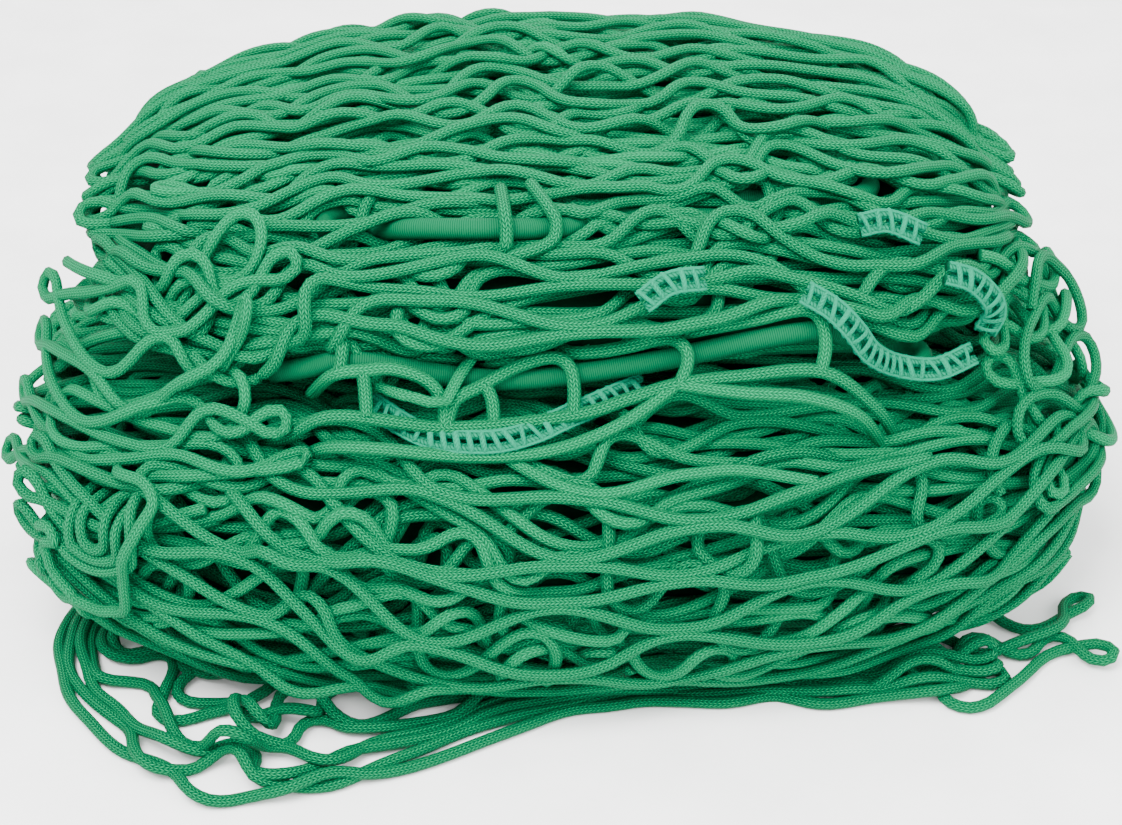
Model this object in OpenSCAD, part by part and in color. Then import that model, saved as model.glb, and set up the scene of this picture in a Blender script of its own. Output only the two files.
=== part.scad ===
// Folded cargo net: knotless braided netting with an elastic edge cord, put up as a
// pack of two folds that open like a book, with one corner of the net left loose.
// Millimetres, +Z up, origin on the resting face below the middle of the lower fold.

/* [Lower fold] */
// Length of the lower fold at its belly
lower_len = 456; // [420:2:520]
// Depth of the lower fold at its belly
lower_depth = 288; // [264:2:340]
// Height of the netting in the lower fold
lower_h = 124; // [110:1:150]
// Height of the belly above the resting face
belly_z = 60; // [45:1:70]
// How far the sides tuck in at the foot
foot_tuck = 32; // [20:1:36]
// How far the ends tuck in at the top of the lower fold
lower_top_tuck_len = 30; // [20:1:40]
// How far the front and back tuck in at the top of the lower fold
lower_top_tuck_depth = 24; // [18:1:30]
// How far the top of the lower fold leans to the back
lower_lean = 12; // [6:1:16]

/* [Upper fold] */
// Height of the whole pack
pack_h = 200; // [190:1:220]
// Length of the upper fold at its widest
upper_len = 388; // [340:2:430]
// Depth of the upper fold at its widest
upper_depth = 246; // [220:2:270]
// Length of the flat crown on top
crown_len = 216; // [160:2:260]
// Depth of the flat crown on top
crown_depth = 104; // [70:2:120]
// How far the crown leans to the back
crown_lean = 34; // [20:1:40]
// How far the upper fold tucks in above the crease
crease_tuck = 10; // [4:1:14]
// Height of the widest level above the crease
upper_wide_rise = 15.4; // [12:0.2:20]
// Thickness of the layer above the upper elastic
crown_layer_h = 15.8; // [12:0.2:20]

/* [Netting] */
// Squareness of the fold outlines: 2 is an ellipse
roundness = 2.6; // [2.2:0.1:3.2]
// Thickness of the outer drape of netting
drape_t = 7; // [5:0.5:9]
// Gap between neighbouring pieces
gap = 0.3; // [0.25:0.05:0.4]
// Gap between the outer drape and the layers inside it
drape_gap = 0.6; // [0.5:0.05:0.8]

/* [Elastic cord] */
// Diameter of the elastic cord over its braided cover
elastic_d = 8; // [6:0.5:9]
// Thickness of the braided cover
cover_t = 0.7; // [0.5:0.1:1]
// Radial slack between the rubber core and the cover
cover_slack = 0.05; // [0.03:0.01:0.1]
// Rows of cord across the lower fold
lower_rows = 10; // [6:2:10]
// Rows of cord across the upper fold
upper_rows = 8; // [4:2:8]
// Least distance of the front row behind the front of the lower fold
crease_setback = 16; // [14:1:24]
// Least distance of the front row behind the front of the upper fold
crown_setback = 8; // [6:0.5:14]
// How far the rising cord keeps inside the end of the upper fold
rise_inset = 12; // [10:1:20]
// How far the turns keep inside the fold outlines
turn_margin = 18; // [17:1:24]

/* [Ferrule] */
// Outer diameter of the ferrule that joins the cord's ends
ferrule_d = 12; // [11:0.5:13]
// Length of the ferrule
ferrule_len = 30; // [20:1:40]
// Radial running clearance of the cord in the ferrule
ferrule_clear = 0.05; // [0.02:0.01:0.1]
// Depth of each crimp groove
crimp_depth = 0.8; // [0.4:0.1:1.2]
// How far the ferrule's axis lies behind the top of the lower fold
ferrule_offset = 2; // [1:0.5:4]
// How far the upper fold keeps in front of the ferrule's axis
ferrule_setback = 9; // [8:0.5:12]

/* [Edge binding] */
// Width of the stitched edge binding
binding_w = 9; // [6:0.5:11]
// Thickness of the stitched edge binding
binding_t = 3; // [2:0.5:4]

/* [Loose corner] */
// Length of the loose corner along its fold line
corner_len = 184; // [140:2:200]
// How far the loose corner reaches out from its fold line
corner_reach = 58; // [40:1:70]
// Thickness of the loose corner
corner_t = 10; // [6:0.5:12]
// Turn of the fold line from the length of the pack
corner_turn = 16.6; // [10:0.2:24]
// Place of the loose corner along its fold line, from the middle
corner_shift = -81; // [-90:1:-60]
// Width of the strands that join the loose corner to the lower fold
root_w = 4; // [3:0.5:6]
// Length of the strands that join the loose corner
root_len = 120; // [80:2:140]
// Thickness of the strands that join the loose corner
root_t = 8; // [5:0.5:9]

/* [Right loops] */
// Length of the loops of twine at the right front foot
loops_len = 70; // [50:2:90]
// How far the loops reach out
loops_reach = 26; // [18:1:34]
// Thickness of the loops
loops_t = 8; // [6:0.5:10]
// Turn of the loops from the length of the pack
loops_turn = 40; // [34:1:48]
// Place of the loops along their line
loops_shift = 62; // [50:1:72]

/* [Hidden] */

$fn = 48;
ring_step = 5;
ring_points = 360 / ring_step;

// Heights
hinge_z = lower_h + gap + elastic_d / 2;
upper_z = lower_h + 2 * gap + elastic_d;
upper_wide_z = upper_z + upper_wide_rise;
crown_room_z = pack_h - crown_layer_h - gap - elastic_d / 2 - hinge_z;
rise_z = floor(2.5 * crown_room_z + 0.001) / 2.5;
crown_elastic_z = hinge_z + rise_z;
drape_top_z = hinge_z - ferrule_d / 2 - gap;

// Places across the depth
lower_top_back = lower_lean + lower_depth / 2 - lower_top_tuck_depth;
lower_top_front = lower_lean - lower_depth / 2 + lower_top_tuck_depth;
hinge_y = lower_top_back + ferrule_offset;
upper_centre_y = hinge_y - ferrule_setback - (upper_depth / 2 - crease_tuck);

// The upper cord rises from the ferrule to its rear row in one half turn, which leans
// forwards on a slope of 4 up to 3 along, so that it is 5 long
rise_y = rise_z * 3 / 4;
rise_r = rise_z * 5 / 4 / 2;
rise_tilt = atan2(4, -3);

// Elastic rows, counted forwards from the ferrule's axis at a pitch in half millimetres
lower_pitch = floor(2 * (hinge_y - lower_top_front - crease_setback) / lower_rows) / 2;
crown_rise = ease(crown_elastic_z, upper_wide_z, pack_h, 2);
crown_half_depth = upper_depth / 2 - crown_rise * (upper_depth - crown_depth) / 2;
crown_centre_y = upper_centre_y + crown_lean * crown_rise;
upper_front_room_y = crown_centre_y - crown_half_depth + crown_setback;
upper_rear_row_y = hinge_y - rise_y;
upper_pitch = floor(2 * (upper_rear_row_y - upper_front_room_y) / (upper_rows - 1)) / 2;
core_d = elastic_d - 2 * cover_t - 2 * cover_slack;

rise_x = floor(row_half_len(true, upper_rear_row_y) + turn_margin - rise_r
               - elastic_d / 2 - rise_inset);
notch_margin = 4;

net_green = "mediumseagreen";
fold_green = "seagreen";
cord_green = "darkgreen";
binding_green = "mediumaquamarine";

// Share of the way from the widest level to an end level, raised to a power
function ease(z, wide, end, power) =
    pow(min(1, abs(z - wide) / abs(end - wide)), power);

// A signed power, which squares off an ellipse
function square_off(v) = sign(v) * pow(abs(v), 2 / roundness);

function half_len(upper, z) =
    upper
    ? (z < upper_wide_z
       ? upper_len / 2 - crease_tuck * ease(z, upper_wide_z, upper_z, 2)
       : upper_len / 2 - (upper_len - crown_len) / 2 * ease(z, upper_wide_z, pack_h, 2))
    : (z < belly_z
       ? lower_len / 2 - foot_tuck * ease(z, belly_z, 0, 2)
       : lower_len / 2 - lower_top_tuck_len * ease(z, belly_z, lower_h, 2.5));

function half_depth(upper, z) =
    upper
    ? (z < upper_wide_z
       ? upper_depth / 2 - crease_tuck * ease(z, upper_wide_z, upper_z, 2)
       : upper_depth / 2 - (upper_depth - crown_depth) / 2 * ease(z, upper_wide_z, pack_h, 2))
    : (z < belly_z
       ? lower_depth / 2 - foot_tuck * ease(z, belly_z, 0, 2)
       : lower_depth / 2 - lower_top_tuck_depth * ease(z, belly_z, lower_h, 2.5));

function centre_y(upper, z) =
    upper
    ? (z < upper_wide_z ? upper_centre_y
       : upper_centre_y + crown_lean * ease(z, upper_wide_z, pack_h, 2))
    : (z < belly_z ? 0 : lower_lean * ease(z, belly_z, lower_h, 2.5));

// A point of a fold's face at an angle, a height and a distance out of the face
function face_point(upper, turn, z, out) = [
    (half_len(upper, z) + out) * square_off(cos(turn)),
    centre_y(upper, z) + (half_depth(upper, z) + out) * square_off(sin(turn)),
    z
];

// Half the length of a row of cord at a place across the depth, in whole millimetres
function row_half_len(upper, y) =
    let (z = upper ? crown_elastic_z : lower_h,
         across = min(0.98, abs(y - centre_y(upper, z)) / half_depth(upper, z)))
    floor(half_len(upper, z) * pow(1 - pow(across, roundness), 1 / roundness) - turn_margin);

// Distance from the middle to the line that touches the lower fold's foot at a turn
function foot_reach(turn, z) =
    let (q = roundness / (roundness - 1))
    pow(pow(half_len(false, z) * abs(sin(turn)), q)
        + pow(half_depth(false, z) * abs(cos(turn)), q), 1 / q);

// One layer of folded netting between two levels
module layer(upper, low, high, inset) {
    levels = 6;
    rings = [for (j = [0:levels]) let (z = low + (high - low) * j / levels)
        for (i = [0:ring_points - 1]) face_point(upper, 360 * i / ring_points, z, -inset)];
    n = ring_points;
    faces = concat(
        [[for (i = [0:n - 1]) i]],
        [[for (i = [n - 1:-1:0]) levels * n + i]],
        [for (j = [0:levels - 1]) for (i = [0:n - 1]) let (k = (i + 1) % n)
            [j * n + i, (j + 1) * n + i, (j + 1) * n + k, j * n + k]]);
    polyhedron(points = rings, faces = faces, convexity = 2);
}

// A curved panel on a fold's face, with its columns at the same turns as the layers'
// outlines. Its levels may slope from its start to its end.
module panel(upper, from, to, low, high, inner, outer, slope = 0, rows = 8) {
    cols = ceil((to - from) / ring_step);
    stride = rows + 1;
    half = (cols + 1) * stride;
    grid = [for (out = [outer, inner]) for (i = [0:cols]) for (j = [0:rows])
        face_point(upper, min(to, from + i * ring_step),
                   low + (high - low) * j / rows + slope * i / cols, out)];
    faces = concat(
        [for (i = [0:cols - 1]) for (j = [0:rows - 1]) let (a = i * stride + j)
            [a, a + 1, a + stride + 1, a + stride]],
        [for (i = [0:cols - 1]) for (j = [0:rows - 1]) let (a = half + i * stride + j)
            [a, a + stride, a + stride + 1, a + 1]],
        [for (i = [0:cols - 1]) let (a = i * stride)
            [a, a + stride, half + a + stride, half + a]],
        [for (i = [0:cols - 1]) let (a = i * stride + rows)
            [a, half + a, half + a + stride, a + stride]],
        [for (j = [0:rows - 1]) [half + j, half + j + 1, j + 1, j]],
        [for (j = [0:rows - 1]) let (a = cols * stride + j)
            [a, a + 1, half + a + 1, half + a]]);
    polyhedron(points = grid, faces = faces, convexity = 4);
}

// Cross-section of the rubber core, or of the cover round it
module cord_section(cover) {
    if (cover) {
        difference() {
            circle(d = elastic_d);
            circle(d = elastic_d - 2 * cover_t);
        }
    } else {
        circle(d = core_d);
    }
}

// A straight run of cord along the length of the pack
module cord_run(cover, from_x, to_x, y, z) {
    translate([from_x, y, z])
        rotate([0, 90, 0])
            linear_extrude(to_x - from_x) cord_section(cover);
}

// A half turn of cord. side is 1 at the right end and -1 at the left end.
module cord_turn(cover, side, x, y, z, r, tilt = 0) {
    translate([x, y, z])
        rotate([tilt, 0, 0])
            rotate([0, 0, -90 * side])
                rotate_extrude(angle = 180) translate([r, 0]) cord_section(cover);
}

function lower_row_y(k) = hinge_y - (lower_rows - k) * lower_pitch;

// Where the turn between lower rows k and k + 1 begins
function lower_turn_x(k) =
    min(row_half_len(false, lower_row_y(k)),
        k + 1 < lower_rows ? row_half_len(false, lower_row_y(k + 1)) : 1e6);

// Even rows turn to the next row at the right end, odd rows at the left end
function lower_turn_side(k) = (k % 2 == 0) ? 1 : -1;

module lower_cord(cover) {
    for (k = [0:lower_rows - 1]) {
        cord_turn(cover, lower_turn_side(k), lower_turn_side(k) * lower_turn_x(k),
                  lower_row_y(k) + lower_pitch / 2, hinge_z, lower_pitch / 2);
        before = (k == 0) ? lower_turn_x(0) : lower_turn_x(k - 1);
        left = (lower_turn_side(k) > 0) ? before : lower_turn_x(k);
        right = (lower_turn_side(k) > 0) ? lower_turn_x(k) : before;
        cord_run(cover, -left, right, lower_row_y(k), hinge_z);
    }
    cord_run(cover, -lower_turn_x(lower_rows - 1), -0.5, hinge_y, hinge_z);
}

function upper_row_y(k) = upper_rear_row_y - (upper_rows - 1 - k) * upper_pitch;

function upper_turn_x(k) =
    min(row_half_len(true, upper_row_y(k)), row_half_len(true, upper_row_y(k + 1)));

// Even rows turn to the next row at the left end, odd rows at the right end
function upper_turn_side(k) = (k % 2 == 0) ? -1 : 1;

module upper_cord(cover) {
    for (k = [0:upper_rows - 2])
        cord_turn(cover, upper_turn_side(k), upper_turn_side(k) * upper_turn_x(k),
                  upper_row_y(k) + upper_pitch / 2, crown_elastic_z, upper_pitch / 2);
    for (k = [0:upper_rows - 1]) {
        before = (k == 0) ? upper_turn_x(0) : upper_turn_x(k - 1);
        after = (k == upper_rows - 1) ? rise_x : upper_turn_x(k);
        left = (upper_turn_side(k) < 0) ? after : before;
        right = (upper_turn_side(k) < 0) ? before : after;
        cord_run(cover, -left, right, upper_row_y(k), crown_elastic_z);
    }
    cord_turn(cover, 1, rise_x, hinge_y - rise_y / 2, hinge_z + rise_z / 2, rise_r,
              rise_tilt);
    cord_run(cover, 0.5, rise_x, hinge_y, hinge_z);
}

// Half an oval slab that lies on the resting face, with its straight side inwards
module foot_slab(turn, shift, off, slab_len, reach, thick) {
    rotate([0, 0, turn])
        translate([shift, -foot_reach(turn, thick) - off, 0])
            linear_extrude(thick)
                polygon([for (a = [180:7.5:360]) [slab_len / 2 * cos(a), reach * sin(a)]]);
}

lower_layer_h = (lower_h - 2 * gap) / 3;
core_inset = drape_t + drape_gap;
seam_turn = 0.2;

module net_lower_bottom_layer() {
    color(fold_green) layer(false, 0, lower_layer_h, core_inset);
}

module net_lower_middle_layer() {
    low = lower_layer_h + gap;
    color(net_green) layer(false, low, low + lower_layer_h, core_inset);
}

module net_lower_top_layer() {
    color(fold_green) layer(false, lower_h - lower_layer_h, lower_h, core_inset);
}

// A panel of the outer drape of the lower fold
module lower_panel(from, to) {
    panel(false, from, to, 0, drape_top_z, -drape_t, 0, rows = 12);
}

module net_front_drape() {
    color(net_green) lower_panel(200, 340 - seam_turn);
}

module net_right_turn() {
    color(fold_green) lower_panel(-20, 20 - seam_turn);
}

module net_back_spine() {
    color(net_green) lower_panel(20, 160 - seam_turn);
}

module net_left_turn() {
    color(fold_green) lower_panel(160, 200 - seam_turn);
}

module net_right_loops() {
    color(net_green)
        foot_slab(loops_turn, loops_shift, gap, loops_len, loops_reach, loops_t);
}

module net_corner_root() {
    root_inner_y = -foot_reach(corner_turn, root_t) - gap;
    root_outer_y = -foot_reach(corner_turn, corner_t) - root_w + gap;
    color(fold_green)
        rotate([0, 0, -corner_turn])
            translate([corner_shift - root_len / 2, root_outer_y, 0])
                cube([root_len, root_inner_y - root_outer_y, root_t]);
}

module net_loose_corner() {
    color(net_green)
        foot_slab(-corner_turn, corner_shift, root_w, corner_len, corner_reach, corner_t);
}

module elastic_core_lower() {
    color("dimgray") lower_cord(false);
}

module elastic_cover_lower() {
    color(cord_green) lower_cord(true);
}

module elastic_core_upper() {
    color("dimgray") upper_cord(false);
}

module elastic_cover_upper() {
    color(cord_green) upper_cord(true);
}

module elastic_ferrule() {
    r = ferrule_d / 2;
    bore_r = elastic_d / 2 + ferrule_clear;
    chamfer = 0.8;
    crimp_w = 2.4;
    color("silver")
        translate([0, hinge_y, hinge_z])
            rotate([0, 90, 0])
                rotate_extrude()
                    difference() {
                        translate([bore_r, -ferrule_len / 2])
                            polygon([[0, 0], [r - bore_r - chamfer, 0],
                                     [r - bore_r, chamfer],
                                     [r - bore_r, ferrule_len - chamfer],
                                     [r - bore_r - chamfer, ferrule_len],
                                     [0, ferrule_len]]);
                        for (side = [-1, 1])
                            translate([r - crimp_depth, side * ferrule_len / 4 - crimp_w / 2])
                                square([2 * crimp_depth, crimp_w]);
                    }
}

// The room that the rising cord needs inside the upper fold
module cord_notch() {
    x0 = rise_x - notch_margin;
    x1 = rise_x + rise_r + elastic_d / 2 + 2;
    y0 = upper_rear_row_y - elastic_d / 2 - notch_margin;
    translate([x0, y0, upper_z - 1])
        cube([x1 - x0, upper_depth, crown_elastic_z - upper_z + 1]);
}

crown_floor_z = crown_elastic_z - elastic_d / 2 - gap;

module net_upper_bottom_layer() {
    color(fold_green)
        difference() {
            layer(true, upper_z, crown_floor_z, core_inset);
            cord_notch();
        }
}

module net_upper_crown_layer() {
    color(net_green) layer(true, pack_h - crown_layer_h, pack_h, 0);
}

// A panel of the outer drape of the upper fold
module upper_panel(from, to) {
    panel(true, from, to, upper_z, crown_floor_z, -drape_t, 0);
}

module net_upper_front_drape() {
    color(net_green) upper_panel(200, 340 - seam_turn);
}

module net_upper_right_turn() {
    color(fold_green) upper_panel(-20, 52);
}

module net_upper_back_spine() {
    color(net_green) upper_panel(80, 160 - seam_turn);
}

module net_upper_left_turn() {
    color(fold_green) upper_panel(160, 200 - seam_turn);
}

// A stretch of edge binding that lies on a fold's face
module binding(upper, from, to, middle_z, slope) {
    color(binding_green)
        panel(upper, from, to, middle_z - binding_w / 2, middle_z + binding_w / 2,
              2 * gap, 2 * gap + binding_t, slope, rows = 2);
}

module edge_binding_front() {
    binding(false, 254, 274, drape_top_z - binding_w / 2 - 1, 0);
}

module edge_binding_right() {
    binding(true, 301, 329, upper_wide_z + 4, -12);
}

module edge_binding_upper_right() {
    binding(true, 321, 336, upper_wide_z + 14, -4);
}

module edge_binding_crown_right() {
    binding(true, 306, 319, crown_floor_z - binding_w / 2 - 1, 0);
}

module edge_binding_middle() {
    binding(true, 277, 285, upper_wide_z + 18, 0);
}

net_lower_bottom_layer();
net_lower_middle_layer();
net_lower_top_layer();
net_front_drape();
net_right_turn();
net_back_spine();
net_left_turn();
net_right_loops();
net_corner_root();
net_loose_corner();
elastic_core_lower();
elastic_cover_lower();
elastic_ferrule();
elastic_core_upper();
elastic_cover_upper();
net_upper_bottom_layer();
net_upper_crown_layer();
net_upper_front_drape();
net_upper_right_turn();
net_upper_back_spine();
net_upper_left_turn();
edge_binding_front();
edge_binding_right();
edge_binding_upper_right();
edge_binding_crown_right();
edge_binding_middle();
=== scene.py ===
"""A folded cargo net: braided netting, an elastic edge cord and a stitched binding.

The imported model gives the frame: two folds that open like a book and one loose corner. This
script hangs the visible netting on it, strand by strand. Each fold carries nested shells of
gathered netting. Every leg of every mesh keeps its length while the twines push each other
apart, and each twine is then swept as a braided tube.
"""

import logging
import math
from dataclasses import dataclass, field
from enum import Enum
from typing import Any, Callable, Sequence

import bmesh
import bpy
import numpy as np
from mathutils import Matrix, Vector


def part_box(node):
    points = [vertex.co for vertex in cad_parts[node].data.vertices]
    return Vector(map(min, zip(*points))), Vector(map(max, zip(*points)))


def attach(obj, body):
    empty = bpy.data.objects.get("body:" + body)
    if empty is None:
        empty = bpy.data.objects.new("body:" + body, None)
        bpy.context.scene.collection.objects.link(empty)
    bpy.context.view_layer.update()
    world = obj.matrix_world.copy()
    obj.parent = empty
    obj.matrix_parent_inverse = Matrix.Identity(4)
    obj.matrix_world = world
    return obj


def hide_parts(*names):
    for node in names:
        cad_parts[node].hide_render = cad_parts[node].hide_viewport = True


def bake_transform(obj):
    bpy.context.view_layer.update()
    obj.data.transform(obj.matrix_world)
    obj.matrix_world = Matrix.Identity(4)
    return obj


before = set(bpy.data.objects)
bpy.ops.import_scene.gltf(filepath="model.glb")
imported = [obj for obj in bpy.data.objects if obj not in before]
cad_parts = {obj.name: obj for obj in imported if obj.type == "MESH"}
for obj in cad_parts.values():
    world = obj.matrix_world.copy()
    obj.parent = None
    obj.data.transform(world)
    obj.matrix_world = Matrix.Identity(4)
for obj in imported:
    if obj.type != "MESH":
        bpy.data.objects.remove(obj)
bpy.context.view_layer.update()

log = logging.getLogger("cargo_net")

Array = np.ndarray
MM = 0.001


class Body(Enum):
    """The rigid bodies of the frame."""

    LOWER = "lower_fold"
    UPPER = "upper_fold"
    CORNER = "loose_corner"


# ---------------------------------------------------------------------------------------
# Small shared mathematics
# ---------------------------------------------------------------------------------------


def squared(value: Array, power: float) -> Array:
    """A signed power, which squares off the sine or cosine of a rounded outline.

    Args:
        value: Sines or cosines.
        power: Exponent of the outline; 2 gives an ellipse.

    Returns:
        The signed powers.
    """
    return np.sign(value) * np.abs(value) ** (2.0 / power)


def unit(vectors: Array) -> Array:
    """Vectors scaled to length one.

    Args:
        vectors: Rows of three numbers.

    Returns:
        The unit vectors.
    """
    length = np.linalg.norm(vectors, axis=-1, keepdims=True)
    return vectors / np.maximum(length, 1e-9)


class Ripple:
    """A smooth random field: a sum of waves with seeded directions and phases."""

    def __init__(self, seed: int, wavelength: float, waves: int = 10) -> None:
        """Draws the waves.

        Args:
            seed: Seed of the field.
            wavelength: Typical distance between crests, in metres.
            waves: Number of waves in each of the three components.
        """
        rng = np.random.default_rng(seed)
        direction = unit(rng.normal(size=(3, waves, 3)))
        stretch = rng.uniform(0.7, 1.5, size=(3, waves, 1))
        self.wave = direction * stretch * 2.0 * math.pi / wavelength
        self.phase = rng.uniform(0.0, 2.0 * math.pi, size=(3, waves))
        self.gain = math.sqrt(2.0 / waves)

    def at(self, points: Array) -> Array:
        """Values of the field, each component with a spread of about one.

        Args:
            points: Rows of three coordinates.

        Returns:
            Rows of three values.
        """
        phase = np.einsum("nk,cwk->ncw", points, self.wave) + self.phase
        return np.sin(phase).sum(axis=2) * self.gain


# ---------------------------------------------------------------------------------------
# The folds' outer shapes
# ---------------------------------------------------------------------------------------


@dataclass
class Lobe:
    """The rounded outer shape of one fold, on which the netting is wound.

    Its cross-section lies in the YZ plane and shrinks to a pole at each end. Sizes are in
    metres.
    """

    half_len: float
    half_depth: float
    mid_y: float
    mid_z: float
    rise: float
    drop: float
    lean: float
    square_up: float
    square_down: float
    square_end: float = 2.6
    table_rows: int = 120
    table_cols: int = 160

    def section(self, turn: Array, depth: Array) -> tuple[Array, Array]:
        """Offsets of the cross-section from the lobe's axis.

        Args:
            turn: Angles: 0 at the back, a quarter turn at the top, a half at the front.
            depth: How far below the outer shape.

        Returns:
            The offsets along Y and Z.
        """
        up = np.sin(turn) > 0
        power = np.where(up, self.square_up, self.square_down)
        sine = np.sign(np.sin(turn)) * np.abs(np.sin(turn)) ** (2.0 / power)
        cosine = np.sign(np.cos(turn)) * np.abs(np.cos(turn)) ** (2.0 / power)
        height = np.where(up, self.rise, self.drop) - depth
        y = (self.half_depth - depth) * cosine + self.lean * np.where(up, sine, 0.0) ** 2
        return y, height * sine

    def point(self, turn: Array, along: Array, depth: Array) -> Array:
        """Points of the lobe.

        Args:
            turn: Angles round the cross-section.
            along: Angles from pole to pole; a quarter turn is the middle.
            depth: How far below the outer shape.

        Returns:
            Rows of three coordinates.
        """
        y, z = self.section(turn, depth)
        share = squared(np.sin(along), self.square_end)
        x = (self.half_len - depth) * squared(np.cos(along), self.square_end)
        return np.stack([x, self.mid_y + y * share, self.mid_z + z * share], axis=-1)

    def prepare(self) -> None:
        """Tabulates lengths, so that netting is laid at its true size."""
        turns = np.linspace(0.0, 2.0 * math.pi, self.table_rows + 1)
        alongs = np.linspace(0.5 * math.pi, 0.0, self.table_cols)
        grid_turn, grid_along = np.meshgrid(turns, alongs, indexing="ij")
        points = self.point(grid_turn, grid_along, np.zeros_like(grid_turn))
        step = np.linalg.norm(np.diff(points, axis=1), axis=2)
        self.reach = np.concatenate([np.zeros((len(turns), 1)), step.cumsum(1)], axis=1)
        self.turns = turns
        self.alongs = alongs
        ring = points[:, 0]
        girth = np.linalg.norm(np.diff(ring, axis=0), axis=1)
        self.girth = np.concatenate([[0.0], girth.cumsum()])

    def turn_at(self, girth: Array) -> Array:
        """Angles round the middle cross-section at given lengths from the back."""
        return np.interp(np.mod(girth, self.girth[-1]), self.girth, self.turns)

    def girth_at(self, turn: float) -> float:
        """Length round the middle cross-section from the back to an angle."""
        return float(np.interp(turn, self.turns, self.girth))

    def place(self, length: Array, girth: Array, depth: Array) -> Array:
        """Points at given lengths along and round the lobe.

        Args:
            length: Signed length from the middle towards an end.
            girth: Length round the middle cross-section from the back.
            depth: How far below the outer shape.

        Returns:
            Rows of three coordinates.
        """
        turn = self.turn_at(girth)
        row = np.interp(turn, self.turns, np.arange(len(self.turns)))
        low = np.clip(row.astype(int), 0, len(self.turns) - 2)
        blend = row - low
        along = np.empty_like(length)
        for index in np.unique(low):
            picked = low == index
            here = np.abs(length[picked])
            first = np.interp(here, self.reach[index], self.alongs)
            second = np.interp(here, self.reach[index + 1], self.alongs)
            along[picked] = first + (second - first) * blend[picked]
        along = np.where(length < 0, math.pi - along, along)
        return self.point(turn, along, depth)

    def outward(self, length: Array, girth: Array) -> Array:
        """Outward unit normals at given lengths along and round the lobe."""
        step = 0.002
        zero = np.zeros_like(length)
        down = self.place(length + step, girth, zero) - self.place(length - step, girth, zero)
        round_ = self.place(length, girth + step, zero) - self.place(length, girth - step, zero)
        normal = unit(np.cross(down, round_))
        centre = self.place(length, girth, zero)
        centre = centre - np.array([0.0, self.mid_y + 0.3 * self.lean, self.mid_z])
        flip = np.sign((normal * centre).sum(1, keepdims=True))
        return normal * np.where(flip == 0, 1.0, flip)


# ---------------------------------------------------------------------------------------
# The net as particles and legs
# ---------------------------------------------------------------------------------------


@dataclass(frozen=True)
class TwineSize:
    """Sizes of the twine and its meshes, in metres."""

    diameter: float = 4.5 * MM
    leg: float = 45.0 * MM
    steps: int = 6
    contact: float = 4.3 * MM
    joint_reach: float = 9.0 * MM

    @property
    def step(self) -> float:
        """Distance between neighbouring particles of a twine."""
        return self.leg / self.steps


@dataclass
class Strand:
    """One run of twine: its particles in order, and which piece it belongs to."""

    piece: str
    particles: list[int]
    sides: list[int]


class NetBook:
    """Every particle, leg and strand of the netting, gathered before it relaxes."""

    def __init__(self, size: TwineSize, seed: int) -> None:
        """Starts an empty book.

        Args:
            size: Sizes of the twine.
            seed: Seed of the small random sideways bows.
        """
        self.size = size
        self.rng = np.random.default_rng(seed)
        self.points: list[Array] = []
        self.normals: list[Array] = []
        self.bands: list[Array] = []
        self.holds: list[Array] = []
        self.count = 0
        self.leg_rows: list[Array] = []
        self.strands: list[Strand] = []

    def add_points(self, points: Array, normals: Array, band: tuple[float, float],
                   hold: float) -> Array:
        """Adds particles.

        Args:
            points: Where they start.
            normals: Outward directions in which their drift is bounded.
            band: Least and greatest drift along the normal.
            hold: Share of the way back to the start at each pass.

        Returns:
            The new particles' numbers.
        """
        number = np.arange(self.count, self.count + len(points))
        self.points.append(points)
        self.normals.append(normals)
        self.bands.append(np.tile(np.array(band), (len(points), 1)))
        self.holds.append(np.full(len(points), hold))
        self.count += len(points)
        return number


Region = Callable[[Array, Array], Array]


@dataclass
class Ground:
    """The flat surface that the net lies on, measured from a chosen corner, in metres."""

    origin: tuple[float, float, float]
    swell: float = 0.0

    def place(self, length: Array, girth: Array, depth: Array) -> Array:
        """Points at given lengths along X and Y from the origin, at a depth below it."""
        x = self.origin[0] + length
        y = self.origin[1] + girth
        lift = self.swell * (0.5 + 0.5 * np.sin(31.0 * length + 7.0) * np.sin(47.0 * girth))
        return np.stack([x, y, self.origin[2] - depth + lift], axis=-1)

    def outward(self, length: Array, girth: Array) -> Array:
        """Upward unit normals."""
        return np.tile(np.array([0.0, 0.0, 1.0]), (len(length), 1))


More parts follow.
